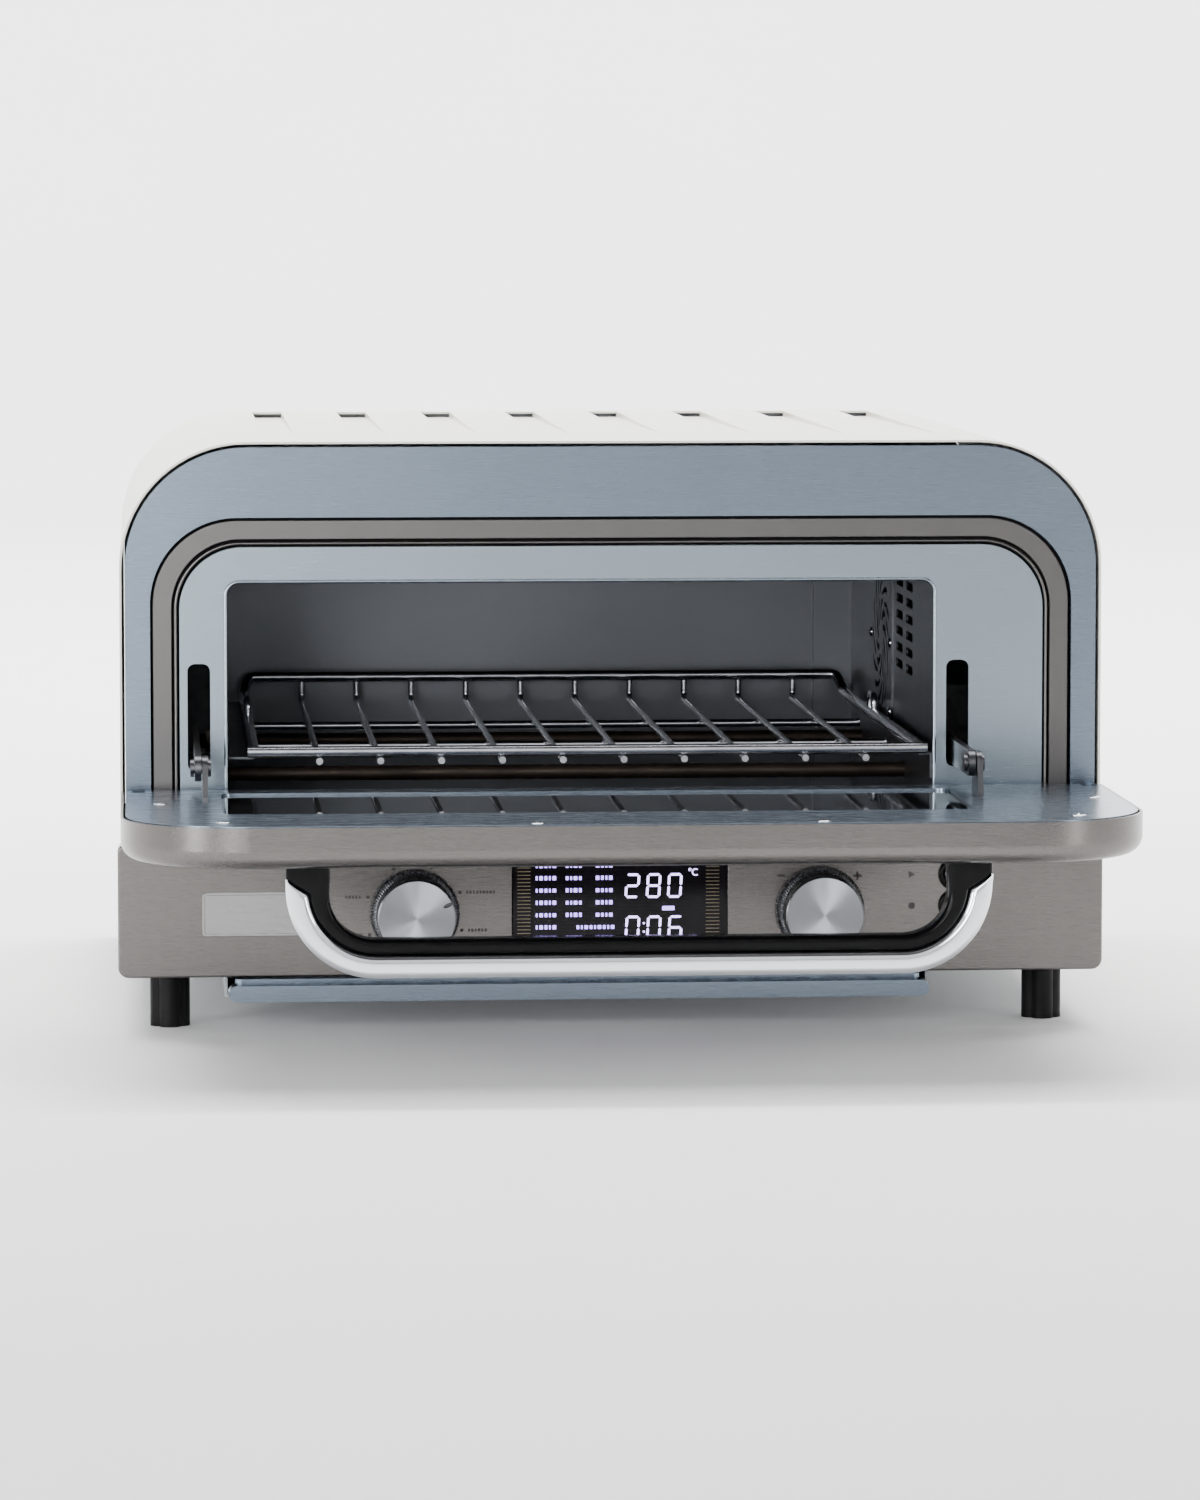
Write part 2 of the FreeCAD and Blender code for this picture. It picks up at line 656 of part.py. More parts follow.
def fan_unit():
    """Convection fan, its guard inside the cavity, and its housing and motor outside."""
    y = front + S.fan_at
    z = S.fan_level
    wall = S.cavity_right
    outside = wall + S.gauge

    body = new_body("fan_guard")
    half_y, half_z = 44, 39
    pad(body, "YZ", wall - S.gauge, wall, rect(y - half_y, y + half_y, z - half_z, z + half_z, 8))
    holes = [
        (radius, math.radians(angle))
        for radius, step in ((9, 90), (18, 45), (27, 30)) for angle in range(0, 360, step)]
    shank = 1.2
    corners = [(dy, dz) for dy in (-39, 39) for dz in (-34, 0, 34)]
    pocket(body, "YZ", wall - S.gauge, wall, *(
        disc(y + r * math.cos(a), z + r * math.sin(a), 2.6) for r, a in holes), *(
        disc(y + dy, z + dz, shank) for dy, dz in corners))
    node("fan_guard", body)
    screws = [
        screw(f"guard_screw_{i}", "X", wall - S.gauge, -1, y + dy, z + dz, 2.4, shank, 1.0)
        for i, (dy, dz) in enumerate(corners)]
    node("guard_screws", group("guard_screw_set", *screws))

    depth = 24
    cup = cut(
        "housing_cup",
        rod("cup_outer", "X", outside, outside + depth, y, z, S.fan_size + 10),
        rod("cup_inner", "X", outside - 1, outside + depth - 1, y, z, S.fan_size + 9),
        rod("cup_hole", "X", outside, outside + depth + 1, y, z, 6))
    node("fan_housing", cup)
    motor_face = outside + depth
    motor = cut(
        "motor_body",
        fuse("motor_outer",
             rod("motor_can", "X", motor_face, motor_face + 32, y, z, 24),
             rod("motor_cap", "X", motor_face + 32, motor_face + 38, y, z, 12)),
        rod("motor_bore", "X", motor_face - 1, motor_face + 25, y, z, S.spindle + S.running))
    node("fan_motor", motor)
    node("fan_shaft", rod("shaft", "X", outside + 4, motor_face + 24, y, z, S.spindle))

    hub_low, hub_high = outside + 4, outside + 19
    blades = []
    for i in range(8):
        blade = doc.addObject("Part::Box", "fan_blade")
        bind(blade, Length=13, Width=S.fan_size - 6, Height=1.2)
        turn = Rotation(Vector(1, 0, 0), 45 * i)
        blade.Placement = Placement(Vector(), turn)
        along = turn.multVec(Vector(0, 6, -0.6))
        place(blade, hub_low + 1, y + along.y, z + along.z)
        blades.append(blade)
    wheel = fuse(
        "fan_wheel", *blades,
        rod("fan_hub", "X", hub_low, hub_high, y, z, 9),
        rod("fan_disc", "X", hub_low + 12, hub_low + 13.2, y, z, S.fan_size))
    bore = rod("fan_bore", "X", hub_low - 1, hub_high + 1, y, z, S.spindle)
    node("convection_fan", cut("fan_bored", wheel, bore))


def controls():
    """Control panel with badge, display, knobs, buttons and the electronics behind it."""
    face = front + S.skin
    half = S.oven_width * 0.5
    body = new_body("control_panel")
    pad(body, "XZ", front, front + S.panel_depth, rect(
        -half, half, S.foot_height, panel_top, 5, 3))
    pocket(body, "XZ", face, front + S.panel_depth, rect(
        S.skin - half, half - S.skin, S.foot_height + S.skin, panel_top - S.skin, 3.8, 1.8))
    display = (S.display_left, S.display_right, S.display_low, S.display_high)
    pocket(body, "XZ", front, face, rect(*display, 1.5))
    for x in (S.knob_left, S.knob_right):
        pocket(body, "XZ", front, face, disc(x, S.knob_level, S.spindle + 1))
    for level in (S.start_level, S.cancel_level):
        pocket(body, "XZ", front, face, disc(S.button_x, level, S.button_size + S.gap))
    fillet(body, 1.0, within(
        (-half - 1, front - 0.1, S.foot_height - 1), (half + 1, front + 0.01, panel_top + 1)))
    node("control_panel", body)

    body = new_body("badge_plate")
    pad(body, "XZ", front - 0.8, front, rect(-191, -135, 45.7, 66.2, 1))
    node("badge_plate", body)

    body = new_body("display_glass")
    pad(body, "XZ", front - 0.4, front + 2, rect(*display, 1.5))
    node("display_glass", body)
    left, right, low, high = display
    node("display_module", box(
        "module", (left + 2.5, right - 2.5), (front + 2, front + 11), (low + 2.5, high - 2.5)))
    board = (front + 16, front + 17.6)
    node("control_board", box("board", (-125, 190), board, (31, 85)))

    for name, x in (("selector_switch", S.knob_left), ("dial_encoder", S.knob_right)):
        part = cut(
            f"{name}_bored",
            box(f"{name}_case", (x - 12, x + 12), (face, front + 14), (
                S.knob_level - 12, S.knob_level + 12)),
            rod(f"{name}_bore", "Y", front, front + 10, x, S.knob_level, S.spindle + S.running))
        node(name, part)

    for name, x, mark in (("selector", S.knob_left, True), ("dial", S.knob_right, False)):
        knob = new_body(f"{name}_knob")
        revolve(
            knob, x, S.knob_level,
            (S.spindle, front - 17), (0, front - 17), (0, front - S.knob_reach),
            (S.knob_face - 1, front - S.knob_reach), (S.knob_face, front + 1 - S.knob_reach),
            (S.knob_face, front - 7), (S.knob_base, front - 6.4), (S.knob_base, front - 0.8),
            (S.spindle, front - 0.8))
        if mark:
            pocket(knob, "XZ", front - S.knob_reach, front + 8 - S.knob_reach, rect(
                x + S.knob_face - 3, x + S.knob_face + 1, S.knob_level - 1, S.knob_level + 1))
        node(f"{name}_knob", knob)
        node(f"{name}_spindle", rod(
            f"{name}_rod", "Y", front - 17, front + 9, x, S.knob_level, S.spindle))

    rings = []
    contacts = []
    for name, level in (("start", S.start_level), ("cancel", S.cancel_level)):
        body = new_body(f"{name}_button")
        pad(body, "XZ", front - 2.8, front + 5.8, disc(S.button_x, level, S.button_size))
        fillet(body, 0.7, within((100, front - 2.9, 0), (200, front - 2.7, 100)))
        node(f"{name}_button", body)
        rings.append(cut(
            f"{name}_ring",
            rod(f"{name}_ring_outer", "Y", front - 1.8, front, S.button_x, level, 7.6),
            rod(f"{name}_ring_bore", "Y", front - 2, front + 1, S.button_x, level,
                S.button_size + S.gap)))
        contacts.append(box(
            f"{name}_contact", (S.button_x - 3, S.button_x + 3), (
                front + 6.2 + S.button_travel, board[0]), (level - 3, level + 3)))
    node("button_bezels", group("ring_pair", *rings))
    node("push_switches", group("contact_pair", *contacts))

    power = fuse(
        "power_unit",
        box("power_card", (-110, 70), (front + 22, front + 56), (29.5, 31.1)),
        box("transformer", (-95, -55), (front + 26, front + 54), (31.1, 58)),
        box("relay", (-30, -10), (front + 28, front + 44), (31.1, 47)),
        box("second_relay", (0, 20), (front + 28, front + 44), (31.1, 47)))
    node("power_board", power)


def door():
    """Door with two panes, its pivots, its handle and the arms that let it down."""
    free = front - S.door_reach
    heel = front - S.door_heel
    half = S.door_side

    def outline(inset, heel_inset, heel_bend):
        return rect(
            inset - half, half - inset, free + inset, heel - heel_inset, S.door_bend - inset,
            heel_bend)

    outer = new_body("skin_outside")
    pad(outer, "XY", S.door_low, S.door_high - 0.5, outline(0, 0, 4))
    fillet(outer, S.door_roll, within(
        (-300, free - 1, S.door_low - 0.1), (300, heel - 3.9, S.door_low + 0.1)))
    inner = new_body("skin_inside")
    pad(inner, "XY", S.door_low + S.skin, S.door_high + 1, outline(S.skin, S.skin, 4 - S.skin))
    fillet(inner, S.door_roll - S.skin, within(
        (-300, free - 1, S.door_low + S.skin - 0.1),
        (300, heel - 3.9, S.door_low + S.skin + 0.1)))
    window = new_body("skin_window")
    pad(window, "XY", S.door_low - 1, S.door_low + S.skin + 1, rect(
        S.window_left + 6, S.window_right - 6, front + 6 - S.window_far,
        front - 6 - S.window_near, 6))
    rear_edge = box("skin_rear_edge", (-300, 300), (heel - 3, heel + 1), (108.8, 120))
    notches = [
        box("skin_notch", (S.pivot_side * side - 3, S.pivot_side * side + 3),
            (heel - 13, heel + 1), (S.door_low + S.skin, 120))
        for side in (-1, 1)]
    tray = cut("skin_tray", outer, inner, window, rear_edge, *notches)
    ears = []
    pins = []
    for side in (-1, 1):
        x = S.pivot_side * side
        for offset in (-3.1, 3.1):
            ear = box("skin_ear", (x + offset - 1, x + offset + 1), (pivot_y - 5, pivot_y + 5), (
                S.door_low + S.skin, S.pivot_level + 5))
            ears.append(cut("skin_ear_bored", ear, rod(
                "skin_ear_bore", "X", x + offset - 2, x + offset + 2, pivot_y, S.pivot_level,
                S.pin_size)))
        pins.append(rod("door_pin", "X", x - 4.6, x + 4.6, pivot_y, S.pivot_level, S.pin_size))
    node("door_outer_skin", fuse("skin_with_ears", tray, *ears))
    node("door_pivot_pins", group("door_pin_pair", *pins))

    brackets = []
    for side in (-1, 1):
        x = S.pivot_side * side
        stem = new_body("pivot_stem")
        nose = 4
        pad(stem, "YZ", x - 1.5, x + 1.5, loop(
            (front + S.gauge, S.pivot_level - nose), (front + S.gauge, S.pivot_level + nose),
            (pivot_y - nose, S.pivot_level + nose, nose - 0.01),
            (pivot_y - nose, S.pivot_level - nose, nose - 0.01)),
            disc(pivot_y, S.pivot_level, S.pin_size + S.running))
        flange = box(
            "pivot_flange", (x - 4.4, x + 4.4), (front + S.gauge, front + 2.5), (94, 110))
        brackets.append(fuse("pivot_bracket", stem, flange))
    node("pivot_brackets", group("bracket_pair", *brackets))

    body = new_body("door_inner_panel")
    rim = 2.2
    pad(body, "XY", S.door_high - 6.1, S.door_high, outline(rim, 0, 0))
    fillet(body, 6, within(
        (-half, heel - 0.1, S.door_high - 0.1), (half, heel + 0.1, S.door_high + 0.1)))
    pocket(body, "XY", S.door_high - 6.1, S.door_high - S.gauge, rect(
        rim + S.gauge - half, half - rim - S.gauge, free + rim + S.gauge, heel - 7.5,
        S.door_bend - rim - S.gauge, 3))
    pocket(body, "XY", S.door_high - 6.1, S.door_high, rect(
        S.window_left, S.window_right, front - S.window_far, front - S.window_near, 6))
    for side in (-1, 1):
        x = S.pivot_side * side
        pocket(body, "XY", S.door_high - 6.2, S.door_high, rect(
            x - 3, x + 3, pivot_y - 8, heel + 1))
    for x in (S.slot_left, S.slot_right):
        pocket(body, "XY", S.door_high - S.gauge, S.door_high, rect(
            x + 0.9, x + 3.4, arm_pin_y - 12, arm_pin_y + 12))
    screw_spots = [
        (x, front - ahead) for x, ahead in (
            (-210, 75), (214, 75), (-183, 158), (-46, 171), (80, 171), (195, 155))]
    pocket(body, "XY", S.door_high - S.gauge, S.door_high, *(
        disc(x, y, SHANK) for x, y in screw_spots))
    node("door_inner_panel", body)

    lid = S.door_high - S.gauge
    floor = S.door_low + S.skin
    panes = {
        "door_glass_inner": ((S.window_left - 2.5, S.window_right + 2.5,
                              front - 2.5 - S.window_far, front + 2.5 - S.window_near, 7),
                             (lid - S.pane, lid)),
        "door_glass_outer": ((S.window_left + 2, S.window_right - 2,
                              front + 2 - S.window_far, front - 2 - S.window_near, 7),
                             (floor, floor + S.pane)),
    }
    for name, (sides, levels) in panes.items():
        body = new_body(name)
        pad(body, "XY", *levels, rect(*sides))
        node(name, body)
    body = new_body("window_spacer")
    sides = (S.window_left + 2, S.window_right - 2, front + 2 - S.window_far,
             front - 2 - S.window_near)
    left, right, far, near = sides
    pad(body, "XY", floor + S.pane, lid - S.pane, rect(*sides, 7),
        rect(left + 3, right - 3, far + 3, near - 3, 4))
    node("window_spacer", body)

    screws = [
        screw(f"door_screw_{i}", "Z", S.door_high, 1, x, y, thick=0.5)
        for i, (x, y) in enumerate(screw_spots)]
    node("door_screws", group("door_screw_set", *screws))

    ears = []
    pins = []
    for x, out in ((S.slot_left, -1), (S.slot_right, 1)):
        ear = new_body("hinge_ear_plate")
        y, z = arm_pin_y, S.arm_pin_level
        pad(ear, "YZ", x + 0.9, x + 3.4, loop(
            (y - 12, lid - 2), (y + 12, lid - 2), (y + 12, S.door_high + 2), (y + 5.5, z + 5.5, 5),
            (y - 5.5, z + 5.5, 5), (y - 12, S.door_high + 2)), disc(y, z, S.pin_size))
        reach = (x - 6, x + 0.9) if out < 0 else (x + 3.4, x + 10)
        foot = box("hinge_ear_foot", reach, (y - 12, y + 12), (lid - 2, lid))
        ears.append(fuse("hinge_ear", ear, foot))
        pins.append(fuse(
            "arm_pin",
            rod("arm_pin_shaft", "X", x - 2.9, x + 3.4, y, z, S.pin_size),
            rod("arm_pin_head", "X", x - 4.5, x - 2.9, y, z, 4),
            rod("arm_pin_rivet", "X", x + 3.4, x + 4.9, y, z, 4)))
    node("hinge_ears", group("hinge_ear_pair", *ears))
    node("arm_pins", group("arm_pin_pair", *pins))

    guides = []
    for name, x, wall in (
            ("left", S.slot_left, S.cavity_left - S.gauge),
            ("right", S.slot_right, S.cavity_right + S.gauge)):
        body = new_body(f"hinge_arm_{name}")
        y, z = arm_pin_y, S.arm_pin_level
        end = y + S.arm_length
        rise = S.arm_height * 0.5
        pad(body, "YZ", x + 0.5 - S.arm_gauge, x + 0.5, loop(
            (y - rise, z - rise, rise * 0.99), (end - 7, z - rise), (end - 7, z - rise - 8, 1),
            (end, z - rise - 8, 2), (end, z + rise, 3), (y - rise, z + rise, rise * 0.99)),
            disc(y, z, S.pin_size + S.running))
        node(f"hinge_arm_{name}", body)
        guide = new_body(f"guide_{name}")
        at = front + S.guide_at
        sides = (x - 4, wall) if name == "left" else (wall, x + 2)
        pad(guide, "YZ", *sides, rect(
            at - 6, at + 6, z - rise - 12, z - rise - S.gap, 0, 3))
        guides.append(guide)
    node("arm_guides", group("guide_pair", *guides))
    handle()


def handle():
    """Bright U-shaped handle with a dark inner strip and feet, hanging under the open door."""
    near = front - S.handle_ahead
    deep = S.handle_deep * 0.5
    top = S.door_low
    half, low, bend = S.handle_side, S.handle_low, S.handle_bend

    def hoop(outer, inner, high):
        return loop(
            (outer - half, high), (outer - half, low + outer, bend - outer),
            (half - outer, low + outer, bend - outer), (half - outer, high),
            (half - inner, high), (half - inner, low + inner, bend - inner),
            (inner - half, low + inner, bend - inner), (inner - half, high))

    grip = new_body("handle_grip")
    pad(grip, "XZ", near - deep, near + deep, hoop(sized(0), S.grip_thick, top - 5))
    fillet(grip, 3.5, on_hoop)
    node("handle_grip", grip)

    strip = new_body("insert_strip")
    pad(strip, "XZ", near - deep + 1.5, near + deep - 1.5, hoop(
        S.grip_thick, S.grip_thick + S.insert_thick, top - 5))
    feet = [
        box("handle_foot", sides, (near - deep, near + deep), (top - 5, top))
        for sides in ((-half, 20 - half), (half - 20, half))]
    node("handle_insert", fuse("insert_with_feet", strip, *feet))


def on_hoop(edge):
    """Whether an edge runs along the outer outline of the handle."""
    half, low, bend = S.handle_side.value, S.handle_low.value, S.handle_bend.value
    if edge.BoundBox.YLength > 0.01:
        return False
    for vertex in edge.Vertexes:
        x, z = abs(vertex.Point.x), vertex.Point.z
        on_side = abs(x - half) < 0.01
        on_base = abs(z - low) < 0.01 and x < half - bend + 0.01
        if not (on_side or on_base):
            return False
    return True


def crumb_tray():
    """Shallow pan with a rounded lip, and the two rails that carry it under the base."""
    left, right = S.tray_left + 3, S.tray_right - 3
    low, high = 17, 24.5
    pan_front = front + 8
    pan_back = cavity_rear - 2
    body = new_body("crumb_tray")
    pad(body, "XY", low, high, rect(left, right, pan_front, pan_back, 3))
    pocket(body, "XY", low + 1, high, rect(left + 1, right - 1, pan_front + 1, pan_back - 1, 2))
    pad(body, "XZ", front - 4, front + 8.2, rect(
        S.tray_left, S.tray_right, S.tray_low, S.tray_high, 3.7))
    node("crumb_tray", body)

    rails = []
    for name, edge, side in (("left", left, -1), ("right", right, 1)):
        body = new_body(f"tray_rail_{name}")
        web = edge + side * 3.3
        outer = web + side * 1.2
        pad(body, "XZ", front + 14.5, cavity_rear, loop(
            (edge - side * 4.0, 15.7), (outer, 15.7), (outer, 25.3), (outer + side * 8.0, 25.3),
            (outer + side * 8.0, S.foot_height), (web, S.foot_height), (web, 16.7),
            (edge - side * 4.0, 16.7)))
        rails.append(body)
    node("tray_rails", group("tray_rail_pair", *rails))


def swept(points, bend, radius):
    """Round wire through the points, each inner corner bent to the given radius."""
    edges = []
    last = points[0]
    for i in range(1, len(points) - 1):
        behind = (points[i] - points[i - 1]).normalize()
        ahead = (points[i + 1] - points[i]).normalize()
        turn = behind.getAngle(ahead)
        setback = bend * math.tan(turn / 2)
        entry = points[i] - behind * setback
        leave = points[i] + ahead * setback
        inward = (ahead - behind).normalize()
        centre = points[i] + inward * (bend / math.cos(turn / 2))
        middle = centre - inward * bend
        edges.append(Part.LineSegment(last, entry).toShape())
        edges.append(Part.Arc(entry, middle, leave).toShape())
        last = leave
    edges.append(Part.LineSegment(last, points[-1]).toShape())
    spine = Part.Wire(edges)
    start = (points[1] - points[0]).normalize()
    ring = Part.Wire(Part.Circle(points[0], start, radius).toShape())
    return spine.makePipeShell([ring], True, False)


def wire_item(name, shape):
    """A bent wire as an object of the document."""
    item = doc.addObject("Part::Feature", name)
    item.Shape = shape
    item.Placement = Placement()
    return item


# Radius of the two wires that cross under the rack's rods.
CROSS_WIRE = 2.0


def wire_rack():
    """Frame wire with a raised rear bar and tilt stops, rods that rise to it, and cross wires."""
    size = {name: getattr(S, name).value for name in (
        "rack_centre", "rack_half", "rack_level", "rack_rise", "frame_wire", "grid_wire",
        "rod_pitch", "rod_middle")}
    near = front.value + 5
    far = (front + S.rack_back).value
    stop_at = front.value + 200
    left = size["rack_centre"] - size["rack_half"]
    right = size["rack_centre"] + size["rack_half"]
    level = size["rack_level"]
    raised = level + size["rack_rise"]
    lean = 3

    loop_wire = swept(
        [Vector(left, near, level), Vector(left, far - 11, level),
         Vector(left + lean, far, raised), Vector(right - lean, far, raised),
         Vector(right, far - 11, level), Vector(right, near, level)],
        4, size["frame_wire"])
    bar = Part.makeCylinder(
        size["frame_wire"], right - left + 6, Vector(left - 3, near, level), Vector(1, 0, 0))
    stops = [
        swept([Vector(x, stop_at - 9, level), Vector(x, stop_at - 9, level + 9),
               Vector(x, stop_at + 9, level + 9), Vector(x, stop_at + 9, level)],
              4, size["grid_wire"])
        for x in (left, right)]
    node("rack_frame", wire_item("rack_frame_wire", loop_wire.multiFuse([bar, *stops])))

    under = level - size["frame_wire"] - size["grid_wire"]
    stop = far - 2
    wires = []
    for i in range(10):
        x = size["rod_middle"] + (i - 4.5) * size["rod_pitch"]
        wires.append(wire_item("rack_rod", swept(
            [Vector(x, near - 3.5, under), Vector(x, stop, under),
             Vector(x, stop, raised - size["frame_wire"])], 4, size["grid_wire"])))
    inner_left = S.rack_centre - S.rack_half + S.frame_wire
    inner_right = S.rack_centre + S.rack_half - S.frame_wire
    cross_level = S.rack_level - S.frame_wire - S.grid_wire * 2 - CROSS_WIRE
    wires += [
        rod("rack_cross_wire", "X", inner_left, inner_right, front + at, cross_level, CROSS_WIRE)
        for at in (120, 232)]
    node("rack_grid", group("rack_grid_wires", *wires))


def main():
    casing()
    front_frame()
    cavity()
    fan_unit()
    controls()
    door()
    crumb_tray()
    wire_rack()
    doc.recompute()
    faults = [
        f"{item.Name}: {', '.join(item.State)}" for item in doc.Objects
        if "Invalid" in item.State or "Error" in item.State]
    for item in nodes:
        if item.Shape.isNull() or not item.Shape.isValid() or not item.Shape.Solids:
            faults.append(f"{item.Label}: bad shape")
    if faults:
        raise RuntimeError("; ".join(faults))
    os.makedirs("parts", exist_ok=True)
    for item in nodes:
        item.Shape.exportStep(f"parts/{item.Label}.step")
    print(len(nodes), "sub-parts written")


main()
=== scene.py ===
# Looks of a countertop pizza oven with its door open. Metres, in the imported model's frame.
import math

import bmesh
import bpy
from mathutils import Matrix, Vector


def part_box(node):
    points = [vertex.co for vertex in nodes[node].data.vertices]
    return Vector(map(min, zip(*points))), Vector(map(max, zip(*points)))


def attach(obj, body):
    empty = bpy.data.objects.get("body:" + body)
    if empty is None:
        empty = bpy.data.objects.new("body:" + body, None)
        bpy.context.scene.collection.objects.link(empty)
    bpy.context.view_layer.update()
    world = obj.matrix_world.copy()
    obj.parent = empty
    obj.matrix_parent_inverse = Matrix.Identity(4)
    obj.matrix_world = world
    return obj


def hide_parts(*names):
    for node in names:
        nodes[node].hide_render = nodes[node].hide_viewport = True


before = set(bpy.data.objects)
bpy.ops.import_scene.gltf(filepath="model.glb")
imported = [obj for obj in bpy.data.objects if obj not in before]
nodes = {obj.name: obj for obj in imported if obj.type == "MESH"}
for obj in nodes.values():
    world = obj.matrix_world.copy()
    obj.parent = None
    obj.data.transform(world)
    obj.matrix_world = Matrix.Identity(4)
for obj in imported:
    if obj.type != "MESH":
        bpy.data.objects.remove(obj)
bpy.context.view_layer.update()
MM = 0.001
MOUTH_SILL = 102 * MM        # lower edge of the oven's mouth
MOUTH_TOP = 210.8 * MM       # upper edge of the oven's mouth
LIT_THICKNESS = 0.12 * MM    # of the display's lit segments
PRINT_THICKNESS = 0.08 * MM  # of printed marks and lines


# ---- small helpers -------------------------------------------------------------------------

def shade(red, green, blue):
    """Linear colour of a display colour given as 0 to 255."""
    return tuple(
        value / 255 / 12.92 if value < 10.3 else ((value / 255 + 0.055) / 1.055) ** 2.4
        for value in (red, green, blue))


def ease(start, end, value):
    """Smooth step from 0 at start to 1 at end."""
    part = min(max((value - start) / (end - start), 0), 1)
    return part * part * (3 - 2 * part)


def centre(node):
    """Middle of a node's box."""
    low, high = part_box(node)
    return (Vector(low) + Vector(high)) / 2


def add_piece(name, mesh, body, materials, at=(0, 0, 0)):
    """Puts a mesh in the scene as a piece that rides on a CAD body."""
    piece = bpy.data.objects.new(name, mesh)
    bpy.context.scene.collection.objects.link(piece)
    piece.location = at
    for material in materials:
        mesh.materials.append(material)
    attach(piece, body)
    return piece


def finish_mesh(name, work, smooth=True, sharp=35):
    """Turns a bmesh into a mesh with outward faces, smooth except at sharp edges."""
    bmesh.ops.recalc_face_normals(work, faces=work.faces)
    for face in work.faces:
        face.smooth = smooth
    for edge in work.edges:
        if edge.is_manifold and edge.calc_face_angle(0) > math.radians(sharp):
            edge.smooth = False
    mesh = bpy.data.meshes.new(name)
    work.to_mesh(mesh)
    work.free()
    return mesh


def loft(work, rings, capped=True, material=0):
    """Joins rings of points with faces, and closes the first and last ring."""
    rows = [[work.verts.new(point) for point in ring] for ring in rings]
    count = len(rows[0])
    for near, far in zip(rows, rows[1:]):
        for i in range(count):
            j = (i + 1) % count
            face = work.faces.new((near[i], near[j], far[j], far[i]))
            face.material_index = material
    if capped:
        for row in (rows[0][::-1], rows[-1]):
            work.faces.new(row).material_index = material
    return rows


def lathe(work, profile, steps, ripple=None, middle=Vector(), material=0):
    """Turns (radius, reach) points round an axis that runs towards -Y from middle."""
    rings = []
    for radius, reach in profile:
        ring = []
        for i in range(steps):
            angle = 2 * math.pi * i / steps
            size = radius + (ripple(i, reach) if ripple else 0)
            ring.append(middle + Vector((size * math.cos(angle), -reach, size * math.sin(angle))))
        rings.append(ring)
    return loft(work, rings, material=material)


def rounded(left, right, low, high, bend, steps=5):
    """Outline of a rectangle with rounded corners, as (u, v) pairs."""
    points = []
    for u, v, start in ((right, high, 0), (left, high, 90), (left, low, 180), (right, low, 270)):
        u_centre = u - bend if u == right else u + bend
        v_centre = v - bend if v == high else v + bend
        for i in range(steps + 1):
            angle = math.radians(start + 90 * i / steps)
            points.append((u_centre + bend * math.cos(angle), v_centre + bend * math.sin(angle)))
    return points


def plate(work, outline, near, far, material=0):
    """Thin plate facing -Y between the planes y = near and y = far."""
    rings = [[Vector((x, y, z)) for x, z in outline] for y in (near, far)]
    loft(work, rings, material=material)


# ---- materials -----------------------------------------------------------------------------

class Surface:
    """A Principled material, with its even values on the shader's own sockets."""

    def __init__(self, name, colour, roughness, metallic=0.0, **sockets):
        self.material = bpy.data.materials.new(name)
        self.material.use_nodes = True
        self.tree = self.material.node_tree
        self.shader = self.tree.nodes["Principled BSDF"]
        self.colour = colour
        self.roughness = roughness
        self.set("Base Color", (*colour, 1))
        self.set("Roughness", roughness)
        self.set("Metallic", metallic)
        for socket, value in sockets.items():
            self.set(socket.replace("_", " "), value)
        self.height = None

    def set(self, socket, value):
        self.shader.inputs[socket].default_value = value

    def add(self, kind, **values):
        """A node of the tree, with its inputs set by name."""
        item = self.tree.nodes.new(kind)
        for socket, value in values.items():
            item.inputs[socket.replace("_", " ")].default_value = value
        return item

    def link(self, source, target):
        self.tree.links.new(source, target)

    def noise(self, scale, stretch=(1, 1, 1), detail=3.0):
        """Noise in the piece's own coordinates, stretched along its grain."""
        coords = self.add("ShaderNodeTexCoord")
        mapping = self.add("ShaderNodeMapping", Scale=stretch)
        noise = self.add("ShaderNodeTexNoise", Scale=scale, Detail=detail)
        self.link(coords.outputs["Object"], mapping.inputs["Vector"])
        self.link(mapping.outputs["Vector"], noise.inputs["Vector"])
        return noise.outputs["Fac"]

    def vary_colour(self, field, amount, low=0.3, high=0.7):
        """Lightens and darkens the colour by a field."""
        ramp = self.add("ShaderNodeValToRGB")
        for element, place, factor in zip(
                ramp.color_ramp.elements, (low, high), (1 - amount, 1 + amount)):
            element.position = place
            element.color = (*(min(value * factor, 1) for value in self.colour), 1)
        self.link(field, ramp.inputs["Fac"])
        self.link(ramp.outputs["Color"], self.shader.inputs["Base Color"])
        return self

    def vary_roughness(self, field, amount):
        """Makes the surface more and less rough by a field."""
        spread = self.add("ShaderNodeMapRange", From_Min=0.3, From_Max=0.7)
        spread.inputs["To Min"].default_value = max(self.roughness - amount, 0.02)
        spread.inputs["To Max"].default_value = self.roughness + amount
        self.link(field, spread.inputs["Value"])
        self.link(spread.outputs["Result"], self.shader.inputs["Roughness"])
        return self

    def bump(self, field, depth, strength=1.0):
        """Adds relief, in metres, on top of any relief added before."""
        item = self.add("ShaderNodeBump", Strength=strength, Distance=depth)
        self.link(field, item.inputs["Height"])
        if self.height:
            self.link(self.height, item.inputs["Normal"])
        self.height = item.outputs["Normal"]
        self.link(self.height, self.shader.inputs["Normal"])
        return self


def brushed(name, colour, roughness, stretch, depth=3e-6, tint=0.05):
    """Sheet metal with fine scratches along one direction and faint cloudy patches."""
    steel = Surface(name, colour, roughness, 1.0)
    grain = steel.noise(1.0, stretch, 3.0)
    clouds = steel.noise(7.0, (1, 1, 1), 3.0)
    return steel.vary_colour(clouds, tint).vary_roughness(grain, 0.03).bump(grain, depth)


